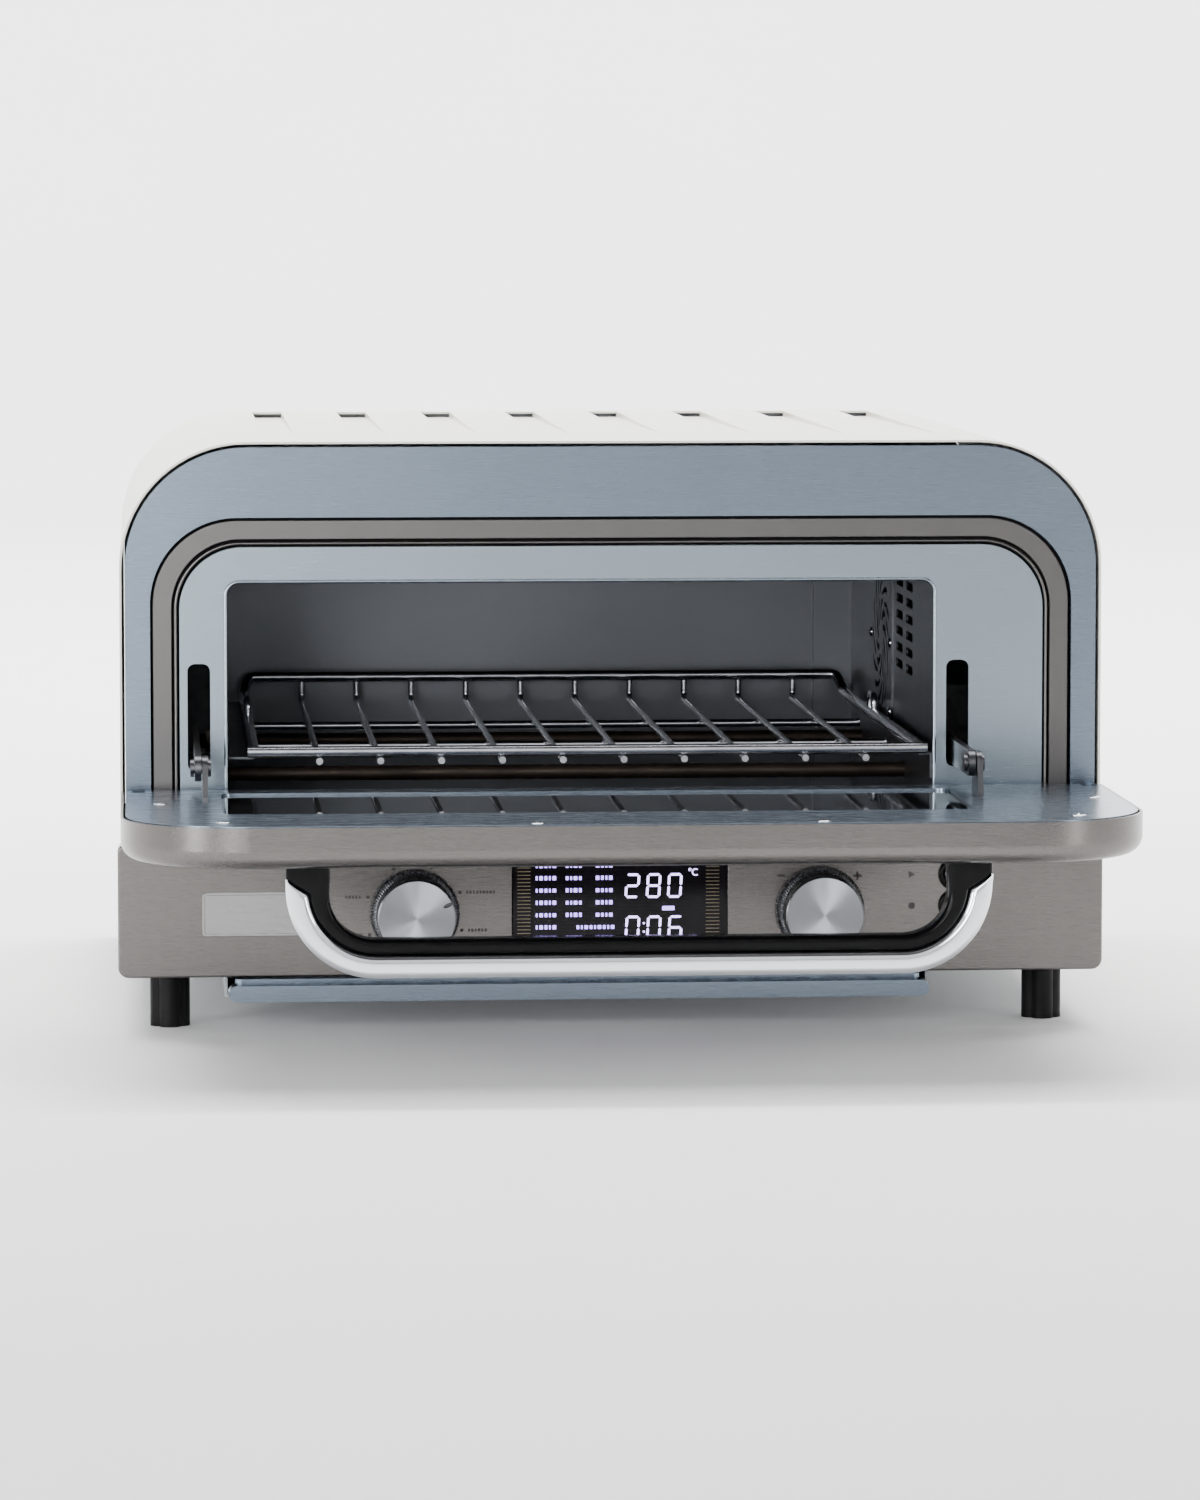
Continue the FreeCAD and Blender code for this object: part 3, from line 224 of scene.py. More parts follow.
def make_materials():
    """Every material, by name."""
    fine = (90, 3600, 3600)
    made = {}

    paint = Surface("cream_paint", shade(226, 222, 213), 0.36,
                    Coat_Weight=0.35, Coat_Roughness=0.12)
    peel = paint.noise(420, detail=2.0)
    made["cream"] = paint.vary_colour(paint.noise(5), 0.02).vary_roughness(
        paint.noise(60), 0.05).bump(peel, 5e-6)

    made["fascia"] = brushed("fascia_steel", shade(118, 129, 142), 0.26, fine, 8e-7)
    # A lighter copy of the fascia steel: painted reflection that makes the front plate and the
    # mouth's lip brighter than the fascia.
    made["plate"] = brushed("plate_steel", shade(145, 156, 165), 0.25, fine, 8e-7)
    made["panel"] = brushed("panel_steel", shade(102, 99, 97), 0.27, fine, 6e-7)
    made["channel"] = brushed("channel_steel", shade(98, 96, 95), 0.32, fine, 1e-6)
    made["lining"] = brushed("lining_steel", shade(96, 98, 102), 0.34, (30, 600, 1200), 6e-6, 0.12)
    made["bracket"] = brushed("bracket_steel", shade(92, 92, 95), 0.34, (700, 60, 700), 5e-6)

    zinc = Surface("zinc_sheet", shade(150, 153, 156), 0.46, 0.9)
    spangle = zinc.add("ShaderNodeTexVoronoi", Scale=130.0)
    zinc.link(zinc.add("ShaderNodeTexCoord").outputs["Object"], spangle.inputs["Vector"])
    made["zinc"] = zinc.vary_colour(spangle.outputs["Color"], 0.10).vary_roughness(
        zinc.noise(90), 0.08)

    chrome = Surface("bright_chrome", shade(226, 228, 232), 0.05, 1.0)
    made["chrome"] = chrome.vary_roughness(chrome.noise(45), 0.02).bump(chrome.noise(220), 2e-6)
    wire = Surface("plated_wire", shade(198, 199, 204), 0.2, 1.0)
    made["wire"] = wire.vary_colour(wire.noise(70), 0.10).vary_roughness(
        wire.noise(160), 0.05).bump(wire.noise(500), 6e-6)

    heater = Surface("heater_sheath", shade(62, 54, 48), 0.50, 0.8)
    made["heater"] = heater.vary_colour(heater.noise(40), 0.22).vary_roughness(
        heater.noise(240), 0.1).bump(heater.noise(900), 1e-5)
    bush = Surface("ceramic_bush", shade(226, 219, 205), 0.72)
    made["ceramic"] = bush.vary_colour(bush.noise(160), 0.05).bump(bush.noise(900), 1.5e-5)

    turned = Surface("turned_aluminium", shade(96, 97, 100), 0.3, 1.0)
    made["turned"] = turned.vary_roughness(turned.noise(300), 0.06).bump(turned.noise(900), 4e-6)
    made["spun"] = spun_face()

    moulded = Surface("moulded_black", shade(18, 17, 18), 0.45, Specular_IOR_Level=0.15)
    made["black"] = moulded.vary_roughness(moulded.noise(50), 0.06).bump(
        moulded.noise(1300, detail=2.0), 1.2e-5)
    gloss = Surface("gloss_black", shade(6, 6, 7), 0.14, Specular_IOR_Level=0.1)
    made["gloss"] = gloss.vary_roughness(gloss.noise(35), 0.03).bump(gloss.noise(300), 2e-6)
    # Matte black that paints shade: in the channel's grooves, on the fan housing and on the pad
    # behind the right wall's slots.
    dark = Surface("groove_shadow", shade(16, 15, 16), 0.7, Specular_IOR_Level=0.1)
    made["dark"] = dark.vary_colour(dark.noise(300), 0.2).bump(dark.noise(900), 5e-6)
    rubber = Surface("foot_rubber", shade(13, 12, 13), 0.5, Specular_IOR_Level=0.12)
    made["rubber"] = rubber.vary_colour(rubber.noise(30), 0.15).vary_roughness(
        rubber.noise(90), 0.08).bump(rubber.noise(1500), 2e-5)

    board = Surface("circuit_board", shade(30, 88, 56), 0.42)
    made["board"] = board.vary_colour(board.noise(150, (1, 1, 6)), 0.3).bump(board.noise(600), 1e-5)

    made["display"] = display_cover()
    made["glow"] = lit_segments("lit_segments", shade(206, 190, 255), 4.5)
    made["glow_soft"] = lit_segments("lit_bars", shade(176, 152, 252), 3.4)
    made["glass"] = door_glass()
    ticks = Surface("tick_lines", shade(112, 100, 74), 0.35)
    made["ticks"] = ticks.vary_colour(ticks.noise(300), 0.15)

    ink = Surface("printed_ink", shade(52, 50, 50), 0.6)
    made["ink"] = ink.vary_colour(ink.noise(700), 0.12).vary_roughness(ink.noise(900), 0.05)
    badge = Surface("badge_metal", shade(138, 137, 137), 0.24, 1.0)
    made["badge"] = badge.vary_roughness(badge.noise(1.0, (60, 1500, 1500)), 0.06).bump(
        badge.noise(1.0, (60, 1500, 1500)), 4e-6)
    return {name: surface.material for name, surface in made.items()}


def spun_face():
    """Aluminium turned on a lathe: fine rings round the Y axis of its own piece."""
    face = Surface("spun_aluminium", shade(168, 170, 175), 0.34, 1.0, Anisotropic=0.95)
    tangent = face.add("ShaderNodeTangent")
    tangent.direction_type = "RADIAL"
    tangent.axis = "Y"
    face.link(tangent.outputs["Tangent"], face.shader.inputs["Tangent"])
    coords = face.add("ShaderNodeTexCoord")
    rings = face.add("ShaderNodeTexWave", Scale=900.0, Distortion=0.6, Detail=2.0)
    rings.wave_type = "RINGS"
    rings.rings_direction = "Y"
    face.link(coords.outputs["Object"], rings.inputs["Vector"])
    return face.vary_colour(face.noise(60), 0.03).bump(rings.outputs["Fac"], 1.5e-6)


def display_cover():
    """Smoked cover of the display, with a faint pattern of fine lines."""
    cover = Surface("display_cover", shade(20, 17, 21), 0.12, Specular_IOR_Level=0.12)
    lines = cover.add("ShaderNodeTexWave", Scale=190.0, Distortion=0.0, Detail=0.0)
    lines.bands_direction = "Z"
    cover.link(cover.add("ShaderNodeTexCoord").outputs["Object"], lines.inputs["Vector"])
    return cover.vary_colour(lines.outputs["Fac"], 0.10).vary_roughness(cover.noise(30), 0.03)


def lit_segments(name, colour, strength):
    """Segments of the display that give light, a little uneven."""
    lit = Surface(name, colour, 0.4, Emission_Strength=strength)
    lit.vary_colour(lit.noise(260), 0.08)
    lit.set("Emission Color", (*colour, 1))
    return lit


def door_glass():
    """Smoked oven glass with faint streaks from wiping."""
    pane = Surface(
        "smoked_glass", shade(70, 82, 90), 0.03, Transmission_Weight=1.0, IOR=1.5)
    streaks = pane.noise(1.0, (6, 18, 6))
    return pane.vary_colour(streaks, 0.1).vary_roughness(streaks, 0.02)


# ---- pieces --------------------------------------------------------------------------------

def dress_nodes(look):
    """Gives each CAD node that stays visible its material."""
    dressed = {
        "cream": ["outer_shell"],
        "fascia": ["front_fascia", "door_inner_panel", "crumb_tray"],
        "plate": ["inner_front_plate"],
        "panel": ["control_panel", "door_outer_skin"],
        "lining": ["cavity_side_left", "cavity_side_right", "cavity_roof", "cavity_rear_wall",
                   "rack_rails", "fan_guard"],
        # The fan housing takes the matte black in place of its bare zinc: painted shade behind the
        # guard.
        "dark": ["fan_housing"],
        "zinc": ["rear_panel", "base_plate", "control_bulkhead", "fan_motor",
                 "arm_guides", "tray_rails", "pivot_brackets"],
        "bracket": ["hinge_ears", "hinge_arm_left", "hinge_arm_right", "arm_pins",
                    "door_pivot_pins"],
        "chrome": ["temperature_probe", "fan_shaft", "selector_spindle", "dial_spindle"],
        "wire": ["rack_frame", "rack_grid"],
        "heater": ["upper_elements", "lower_elements"],
        "ceramic": ["element_insulators"],
        "turned": ["convection_fan"],
        "black": ["cord_gland", "display_module", "selector_switch", "dial_encoder",
                  "push_switches"],
        "rubber": ["feet", "window_spacer"],
        "board": ["control_board", "power_board"],
        "display": ["display_glass"],
        "glass": ["door_glass_inner", "door_glass_outer"],
    }
    for name, members in dressed.items():
        for member in members:
            for holder in nodes[member].material_slots:
                holder.material = look[name]


def knob_profile(base, reach, radius, face):
    """(radius, reach) points of a knob: a knurled base, a step, a plain side and its face."""
    step = base + 6 * MM
    run = reach - 1.2 * MM - step
    profile = [(radius - 1 * MM, base), (radius, base + 0.9 * MM)]
    profile += [(radius, base + (1.1 + 0.8 * i) * MM) for i in range(4)]
    profile += [(radius - 0.5 * MM, base + 4.8 * MM), (face + 0.9 * MM, base + 5.6 * MM),
                (face, step)]
    profile += [(face, step + run * i / 6) for i in range(1, 7)]
    profile += [(face, reach - 0.9 * MM), (face - 0.25 * MM, reach - 0.3 * MM),
                (face - 0.8 * MM, reach)]
    return profile


def notch(radius, reach, heading):
    """Small oval tool that marks a knob's face at a distance and heading from its axis."""
    angle = math.radians(heading)
    spot = Vector((radius * math.cos(angle), -reach, radius * math.sin(angle)))
    turn = Matrix.Translation(spot) @ Matrix.Rotation(-angle, 4, "Y")
    turn @= Matrix.Diagonal((2.4 * MM, 1 * MM, 0.9 * MM, 1))
    cutter = bmesh.new()
    bmesh.ops.create_uvsphere(cutter, u_segments=24, v_segments=12, radius=1, matrix=turn)
    mesh = bpy.data.meshes.new("knob_notch")
    cutter.to_mesh(mesh)
    cutter.free()
    return mesh


def knob(name, look, body, marked):
    """Knob with a finely knurled base and side and a spun face, its origin at its middle."""
    low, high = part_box(name)
    middle = centre(name)
    reach, base = -low[1], -high[1]
    radius = (high[0] - low[0]) / 2
    face = radius - 2.4 * MM
    teeth = 96
    depth = 0.45 * MM

    def knurl(i, along):
        """Fine teeth on the side, and none on the rounded edges or the face."""
        on_side = base + 1 * MM < along < reach - 1.1 * MM
        return -depth if on_side and i % 4 in (1, 2) else 0

    work = bmesh.new()
    lathe(work, knob_profile(base, reach, radius, face), teeth * 4, knurl,
          Vector((0, -middle.y, 0)))
    front = -reach - middle.y + 0.1 * MM
    caps = [item for item in work.faces
            if len(item.verts) > 8 and item.calc_center_median().y < front]
    for cap in caps:
        cap.material_index = 1
        inset = bmesh.ops.inset_individual(work, faces=[cap], thickness=0.6 * MM)
        for rim in inset["faces"]:
            rim.material_index = 1
    piece = add_piece(
        f"{name}_turned", finish_mesh(f"{name}_turned", work), body,
        [look["turned"], look["spun"]], middle)
    if marked:
        carve(piece, notch(face - 2.6 * MM, reach + middle.y, 24))
    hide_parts(name)


def carve(piece, tool):
    """Cuts a tool mesh, in the piece's own coordinates, out of the piece's mesh."""
    helper = bpy.data.objects.new("carving_tool", tool)
    bpy.context.scene.collection.objects.link(helper)
    bpy.context.view_layer.update()
    helper.matrix_world = piece.matrix_world
    bpy.context.view_layer.update()
    step = piece.modifiers.new("carve", "BOOLEAN")
    step.object = helper
    step.operation = "DIFFERENCE"
    step.solver = "EXACT"
    graph = bpy.context.evaluated_depsgraph_get()
    cut = bpy.data.meshes.new_from_object(piece.evaluated_get(graph))
    piece.modifiers.remove(step)
    old = piece.data
    piece.data = cut
    cut.name = old.name
    bpy.data.meshes.remove(old)
    bpy.data.objects.remove(helper)


def handle(look):
    """U-shaped handle: a bright outer bar and a dark inner strip that flares into the feet."""
    low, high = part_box("handle_grip")
    half = high[0]
    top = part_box("handle_insert")[1][2]
    base = low[2]
    middle = (low[1] + high[1]) / 2
    deep = (high[1] - low[1]) / 2
    bend = 40 * MM
    bar = 10.6 * MM
    strip = 6.6 * MM
    leg = top - base - bend
    foot = 5 * MM

    def stations():
        """(point of the outer outline, inward direction, distance below the top) in turn."""
        arc_steps, leg_steps = 18, 14
        for i in range(leg_steps):
            drop = leg * (i / leg_steps) ** 1.3
            yield Vector((-half, 0, top - drop)), Vector((1, 0, 0)), drop
        for i in range(arc_steps + 1):
            angle = math.radians(180 + 90 * i / arc_steps)
            out = Vector((math.cos(angle), 0, math.sin(angle)))
            point = Vector((-half + bend, 0, base + bend)) + out * bend
            yield point, -out, leg + bend * math.radians(90 * i / arc_steps)
        for i in range(1, 9):
            x = (-half + bend) * (1 - i / 8)
            yield Vector((x, 0, base)), Vector((0, 0, 1)), leg + bend * 1.6 + i * 10 * MM

    left = list(stations())
    right = [(Vector((-point.x, 0, point.z)), Vector((-inward.x, 0, inward.z)), drop)
             for point, inward, drop in reversed(left[:-1])]
    path = left + right

    def hoop(near_of, far_of, width, bend_of, first):
        """Rings of a section between two distances from the outline."""
        rings = []
        for point, inward, drop in path:
            if drop < first:
                continue
            near, far = near_of(drop), far_of(drop)
            corner = min(bend_of, (far - near) * 0.45)
            rings.append([
                point + inward * u + Vector((0, middle + v, 0))
                for u, v in rounded(near, far, -width, width, corner, 6)])
        return rings

    def join_line(drop):
        """Where the bar meets the strip, which slants outwards at the foot."""
        return bar * ease(foot, foot + 9 * MM, drop)

    work = bmesh.new()
    loft(work, hoop(
        lambda drop: 0, lambda drop: max(join_line(drop), 0.8 * MM), deep, 3.6 * MM, foot))
    grip = add_piece(
        "handle_bar", finish_mesh("handle_bar", work), "door", [look["chrome"]])
    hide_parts("handle_grip")

    work = bmesh.new()
    loft(work, hoop(
        lambda drop: join_line(drop) + 0.02 * MM,
        lambda drop: bar + strip + 2.4 * MM * (1 - ease(0, leg + bend, drop)),
        deep - 0.8 * MM, 2.2 * MM, 0))
    inner = add_piece(
        "handle_strip", finish_mesh("handle_strip", work), "door", [look["gloss"]])
    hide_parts("handle_insert")


def screw_head(radius, height):
    """Domed head with a cross recess, its seat at the origin, facing -Y."""
    work = bmesh.new()
    edge = 0.16
    dome = [(radius * 0.98, 0.0), (radius, height * edge)]
    for i in range(1, 8):
        angle = math.radians(90 * i / 8)
        dome.append((radius * math.cos(angle), height * (edge + (1 - edge) * math.sin(angle))))
    dome.append((radius * 0.04, height))
    lathe(work, dome, 40)
    head = bpy.data.objects.new("head", finish_mesh("screw_head", work))
    bpy.context.scene.collection.objects.link(head)
    arm, half = radius * 0.56, radius * 0.15
    cross = [(half, half), (half, arm), (-half, arm), (-half, half), (-arm, half), (-arm, -half),
             (-half, -half), (-half, -arm), (half, -arm), (half, -half), (arm, -half), (arm, half)]
    tool = bmesh.new()
    plate(tool, cross, -1.5 * height, -0.5 * height)
    bmesh.ops.recalc_face_normals(tool, faces=tool.faces)
    recess = bpy.data.meshes.new("recess")
    tool.to_mesh(recess)
    tool.free()
    carve(head, recess)
    mesh = head.data
    bpy.data.objects.remove(head)
    return mesh


def islands(node):
    """Lowest and highest corner of each separate solid of a CAD node."""
    work = bmesh.new()
    work.from_mesh(nodes[node].data)
    bmesh.ops.remove_doubles(work, verts=work.verts, dist=1e-6)
    seen = set()
    found = []
    for start in work.verts:
        if start in seen:
            continue
        stack, group = [start], []
        seen.add(start)
        while stack:
            vert = stack.pop()
            group.append(vert.co.copy())
            for edge in vert.link_edges:
                other = edge.other_vert(vert)
                if other not in seen:
                    seen.add(other)
                    stack.append(other)
        low = Vector(min(point[k] for point in group) for k in range(3))
        high = Vector(max(point[k] for point in group) for k in range(3))
        found.append((low, high))
    work.free()
    return found


def screws(node, body, look, facing, radius, height, seat=1.4 * MM):
    """Replaces a node's plain screws with domed heads, seated a little below their tops."""
    turn = Vector((0, -1, 0)).rotation_difference(Vector(facing)).to_matrix().to_4x4()
    head = screw_head(radius, height)
    axis = max(range(3), key=lambda k: abs(facing[k]))
    work = bmesh.new()
    for number, (low, high) in enumerate(islands(node)):
        spot = (low + high) / 2
        ahead = high[axis] if facing[axis] > 0 else low[axis]
        spot[axis] = ahead - seat * facing[axis]
        spin = Matrix.Rotation(math.radians(17 + 53 * number), 4, "Y")
        copy = head.copy()
        copy.transform(Matrix.Translation(spot) @ turn @ spin)
        work.from_mesh(copy)
        bpy.data.meshes.remove(copy)
    mesh = bpy.data.meshes.new(f"{node}_heads")
    work.to_mesh(mesh)
    work.free()
    piece = add_piece(f"{node}_heads", mesh, body, [look["chrome"]])
    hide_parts(node)


SEGMENTS = {
    "0": "abcdef", "2": "abged", "6": "afgedc", "8": "abcdefg"}


def digit(work, value, left, base, width, height, face):
    """Seven-segment digit that leans a little to the right."""
    bar = 1.1 * MM
    gap = 0.22 * MM
    half = height / 2

    def lean(x, z):
        return Vector((left + x + 0.06 * z, 0, base + z))

    def segment(start, end):
        """Six-sided bar between two corners of the digit."""
        start, end = Vector((*start, 0)), Vector((*end, 0))
        along = (end - start).normalized()
        side = Vector((-along.y, along.x, 0)) * bar / 2
        a, b = start + along * gap, end - along * gap
        points = [a, a + along * bar / 2 + side, b - along * bar / 2 + side, b,
                  b - along * bar / 2 - side, a + along * bar / 2 - side]
        outline = [lean(point.x, point.y) for point in points]
        plate(work, [(point.x, point.z) for point in outline], face - LIT_THICKNESS, face)

    corners = {
        "a": ((0, height), (width, height)), "b": ((width, half), (width, height)),
        "c": ((width, 0), (width, half)), "d": ((0, 0), (width, 0)),
        "e": ((0, 0), (0, half)), "f": ((0, half), (0, height)), "g": ((0, half), (width, half))}
    for name in SEGMENTS[value]:
        segment(*corners[name])


def display(look):
    """Lit digits, a degree sign, rows of plain blocks and fine lines on the display's cover."""
    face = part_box("display_glass")[0][1]
    for name, draw, material in (
            ("display_digits", display_digits, "glow"),
            ("display_bars", programme_rows, "glow_soft"),
            ("display_ticks", tick_lines, "ticks")):
        work = bmesh.new()
        draw(work, face)
        add_piece(name, finish_mesh(name, work, False), "oven_body", [look[material]])


def block(work, left, right, low, high, bend, face, thick=LIT_THICKNESS):
    """Thin lit block on the cover, with rounded corners."""
    plate(work, rounded(left, right, low, high, bend, 2), face - thick, face)


def display_digits(work, face):
    """Temperature over time, both at the right of the display."""
    left, _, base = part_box("display_glass")[0]
    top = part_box("display_glass")[1][2]
    first = left + 52.6 * MM
    width = 5.6 * MM
    for index, value in enumerate("280"):
        digit(work, value, first + 9.9 * MM * index, top - 18.4 * MM, width, 10.4 * MM, face)
    for index, value in enumerate("006"):
        digit(work, value, first + 10 * MM * index, base + 9 * MM, width, 10.2 * MM, face)
    colon = left + 60.6 * MM
    for lift in (11.8 * MM, 15.8 * MM):
        block(work, colon, colon + 0.9 * MM, base + lift, base + lift + 0.9 * MM, 0.3 * MM, face)
    degree_sign(work, left + 82.6 * MM, top - 9 * MM, face)


def programme_rows(work, face):
    """Rows of plain blocks in place of programme names, and one over the minutes."""
    left, _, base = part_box("display_glass")[0]
    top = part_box("display_glass")[1][2]
    # In mm from the display's left edge: where each column of blocks starts and ends.
    columns = ((10.6, 21.4), (24.6, 33.6), (38.6, 47.2))
    last_row = ((10.6, 20.8), (29.6, 47.2))
    rows, first_level, pitch, gap, narrowest = 6, 3.6, 5.75, 0.75, 1.2
    for row in range(rows):
        level = top - (first_level + pitch * row) * MM
        for index, (start, end) in enumerate(last_row if row == rows - 1 else columns):
            place = start
            step = row * 3 + index
            while place < end - narrowest:
                width = 0.9 + 0.4 * (step % 3)
                rise = 0.85 + 0.15 * (step % 2)
                block(work, left + place * MM, left + (place + width) * MM,
                      level - 0.95 * MM, level + rise * MM, 0.2 * MM, face)
                place += width + gap
                step += 2
    block(work, left + 69.6 * MM, left + 75.4 * MM, base + 22.2 * MM, base + 24.2 * MM,
          0.35 * MM, face)


def tick_lines(work, face):
    """Ladder of fine unlit lines down each side of the display."""
    left, _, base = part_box("display_glass")[0]
    first_level, pitch = 3.2, 1.7
    for start, end in ((1.9, 8.2), (90.0, 96.4)):
        for index in range(25):
            level = base + (first_level + pitch * index) * MM
            block(work, left + start * MM, left + end * MM, level, level + 0.4 * MM,
                  0.15 * MM, face, PRINT_THICKNESS)


def degree_sign(work, left, base, face):
    """Small ring and an open letter for degrees Celsius."""
    def arc(x, z, radius, width, start, end):
        steps = 14
        angles = [math.radians(start + (end - start) * i / steps) for i in range(steps + 1)]
        outer = [(x + radius * math.cos(a), z + radius * math.sin(a)) for a in angles]
        inner = [(x + (radius - width) * math.cos(a), z + (radius - width) * math.sin(a))
                 for a in reversed(angles)]
        plate(work, outer + inner, face - LIT_THICKNESS, face)

    arc(left, base + 3.2 * MM, 0.7 * MM, 0.35 * MM, 0, 340)
    arc(left + 2.6 * MM, base + 2.0 * MM, 1.7 * MM, 0.5 * MM, 50, 310)


def markings(look):
    """Printed dots, minus and plus, and plain symbols on the control panel."""
    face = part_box("control_panel")[0][1]
    front = face - PRINT_THICKNESS
    work = bmesh.new()

    def disc(x, z, radius):
        angles = [math.radians(a) for a in range(0, 360, 20)]
        plate(work, [(x + radius * math.cos(a), z + radius * math.sin(a)) for a in angles],
              front, face)

    def bar(x, z, width, height):
        plate(work, rounded(x - width / 2, x + width / 2, z - height / 2, z + height / 2,
                            min(width, height) * 0.3, 2), front, face)

    def label(x, z, count):
        """Row of plain blocks in place of a printed word."""
        for index in range(count):
            bar(x + (0.8 + 1.55 * index) * MM, z, (0.8 + 0.25 * (index % 2)) * MM, 1.5 * MM)

    left = centre("selector_knob")
    ring = 23.2 * MM
    for index in range(8):
        angle = math.radians(25 + 45 * index)
        x = left.x + ring * math.cos(angle)
        z = left.z + ring * math.sin(angle)
        disc(x, z, 0.85 * MM)
        if index in (0, 7):
            label(x + 2.6 * MM, z, 9 - index // 2)
        if index in (3, 4):
            label(x - 10.8 * MM, z, 5)
    right = centre("dial_knob")
    bar(right.x - 18.2 * MM, right.z + 16.4 * MM, 3.7 * MM, 1.1 * MM)
    bar(right.x + 17.6 * MM, right.z + 16.0 * MM, 4.2 * MM, 1.1 * MM)
    bar(right.x + 17.6 * MM, right.z + 16.0 * MM, 1.1 * MM, 4.2 * MM)
    offset = 20 * MM
    start, cancel = centre("start_button"), centre("cancel_button")
    x = start.x - offset
    plate(work, [(x - 1.5 * MM, start.z - 1.7 * MM), (x + 1.6 * MM, start.z),
                 (x - 1.5 * MM, start.z + 1.7 * MM)], front, face)
    bar(cancel.x - offset, cancel.z, 3 * MM, 3 * MM)
    add_piece("panel_print", finish_mesh("panel_print", work, False), "oven_body",
              [look["ink"]])


def button_cap(name, body, look):
    """Slightly domed bright cap of one button, its origin at its middle."""
    low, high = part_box(name)
    middle = centre(name)
    radius = (high[0] - low[0]) / 2
    reach = middle.y - low[1]
    tail = high[1] - middle.y
    profile = [(radius * 0.9, -tail), (radius, -tail + 0.3 * MM), (radius, reach - 0.9 * MM)]
    for i in range(1, 7):
        angle = math.radians(15 * i)
        profile.append((radius - 0.8 * MM * (1 - math.cos(angle)),
                        reach - 0.9 * MM + 0.6 * MM * math.sin(angle)))
    profile += [(radius * 0.6, reach - 0.08 * MM), (radius * 0.3, reach - 0.02 * MM),
                (radius * 0.02, reach)]
    work = bmesh.new()
    lathe(work, profile, 64)
    piece = add_piece(f"{name}_cap", finish_mesh(f"{name}_cap", work), body,
                      [look["turned"]], middle)
    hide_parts(name)


def button_ring(work, name):
    """Rounded ring on the panel round one button."""
    low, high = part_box(name)
    middle = centre(name)
    ring_low, ring_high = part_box("button_bezels")
    seat = ring_high[1]
    proud = seat - ring_low[1]
    outer = (ring_high[0] - ring_low[0]) / 2
    hole = (high[0] - low[0]) / 2 + 0.3 * MM
    half = (outer - hole) / 2
    rim = [(outer, seat)]
    for i in range(9):
        angle = math.radians(180 * i / 8)
        rim.append((hole + half + half * math.cos(angle),
                    seat - proud * (0.45 + 0.55 * math.sin(angle))))
    rim.append((hole, seat))
    steps = 64
    rings = [[Vector((middle.x + radius * math.cos(2 * math.pi * i / steps), y,
                      middle.z + radius * math.sin(2 * math.pi * i / steps)))
              for i in range(steps)] for radius, y in rim]
    loft(work, rings + rings[:1], capped=False)


def buttons(look):
    """Domed bright buttons, each in a rounded black ring."""
    work = bmesh.new()
    for name, body in (("start_button", "start_key"), ("cancel_button", "cancel_key")):
        button_cap(name, body, look)
        button_ring(work, name)
    bmesh.ops.remove_doubles(work, verts=work.verts, dist=1e-7)
    piece = add_piece("button_rings", finish_mesh("button_rings", work), "oven_body",
                      [look["gloss"]])
    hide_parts("button_bezels")


def badge(look):
    """Blank badge plate with rounded corners and a raised rim."""
    low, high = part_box("badge_plate")
    work = bmesh.new()
    rings = []
    for inset, y in ((0.0, high[1]), (0.0, low[1] + 0.25 * MM), (0.25 * MM, low[1]),
                     (1.1 * MM, low[1]), (1.3 * MM, low[1] + 0.25 * MM)):
        rings.append([Vector((x, y, z)) for x, z in rounded(
            low[0] + inset, high[0] - inset, low[2] + inset, high[2] - inset,
            2.0 * MM - inset * 0.8, 6)])
    loft(work, rings)
    piece = add_piece("badge_blank", finish_mesh("badge_blank", work, sharp=20), "oven_body",
                      [look["badge"]])
    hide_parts("badge_plate")


def front_ring(look):
    """Recessed channel round the front plate: a flat floor, grooves and a rounded bead."""
    half, _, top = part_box("inner_front_plate")[1]
    channel_low, channel_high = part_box("recess_channel")
    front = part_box("front_fascia")[0][1]
    full = channel_high[0] - half - 1 * MM
    bend, outer_bend = 29 * MM, 40 * MM
    base = channel_low[2]

    def arch(offset, deep):
        """Points up the left side, over the top and down the right side."""
        side = half + offset
        level = top + offset
        turn = bend + (outer_bend - bend) * offset / full
        points = [Vector((-side, front + deep, base)), Vector((-side, front + deep, base + 0.05))]
        for start, x in ((180, turn - side), (90, side - turn)):
            points += [Vector((x + turn * math.cos(math.radians(start - 90 * i / 24)),
                               front + deep,
                               level - turn + turn * math.sin(math.radians(start - 90 * i / 24))))
                       for i in range(25)]
        return points + [Vector((side, front + deep, base + 0.05)),
                         Vector((side, front + deep, base))]

    # Section across the channel: (distance out from the plate, depth behind the front), in mm.
    bead = [(1.75 + 0.75 * math.cos(math.radians(a)), 1.8 - 0.75 * math.sin(math.radians(a)))
            for a in range(180, -1, -20)]
    section = [(0.1, 6.0), (0.1, 4.9), (1.0, 4.9), *bead, (2.5, 4.9), (3.5, 4.9), (3.5, 2.5),
               (3.8, 2.2), (12.1, 2.2), (12.4, 2.5), (12.4, 4.9), (13.4, 4.9), (13.4, 6.0)]
    lines = [arch(offset * MM, deep * MM) for offset, deep in section]
    work = bmesh.new()
    loft(work, [list(ring) for ring in zip(*lines)])
    # Faces deeper than 3.6 mm behind the front take the matte black: painted shade in the grooves.
    for face in work.faces:
        if face.calc_center_median().y > front + 3.6 * MM:
            face.material_index = 1
    piece = add_piece("channel_ring", finish_mesh("channel_ring", work), "oven_body",
                      [look["channel"], look["dark"]])
    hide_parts("recess_channel")


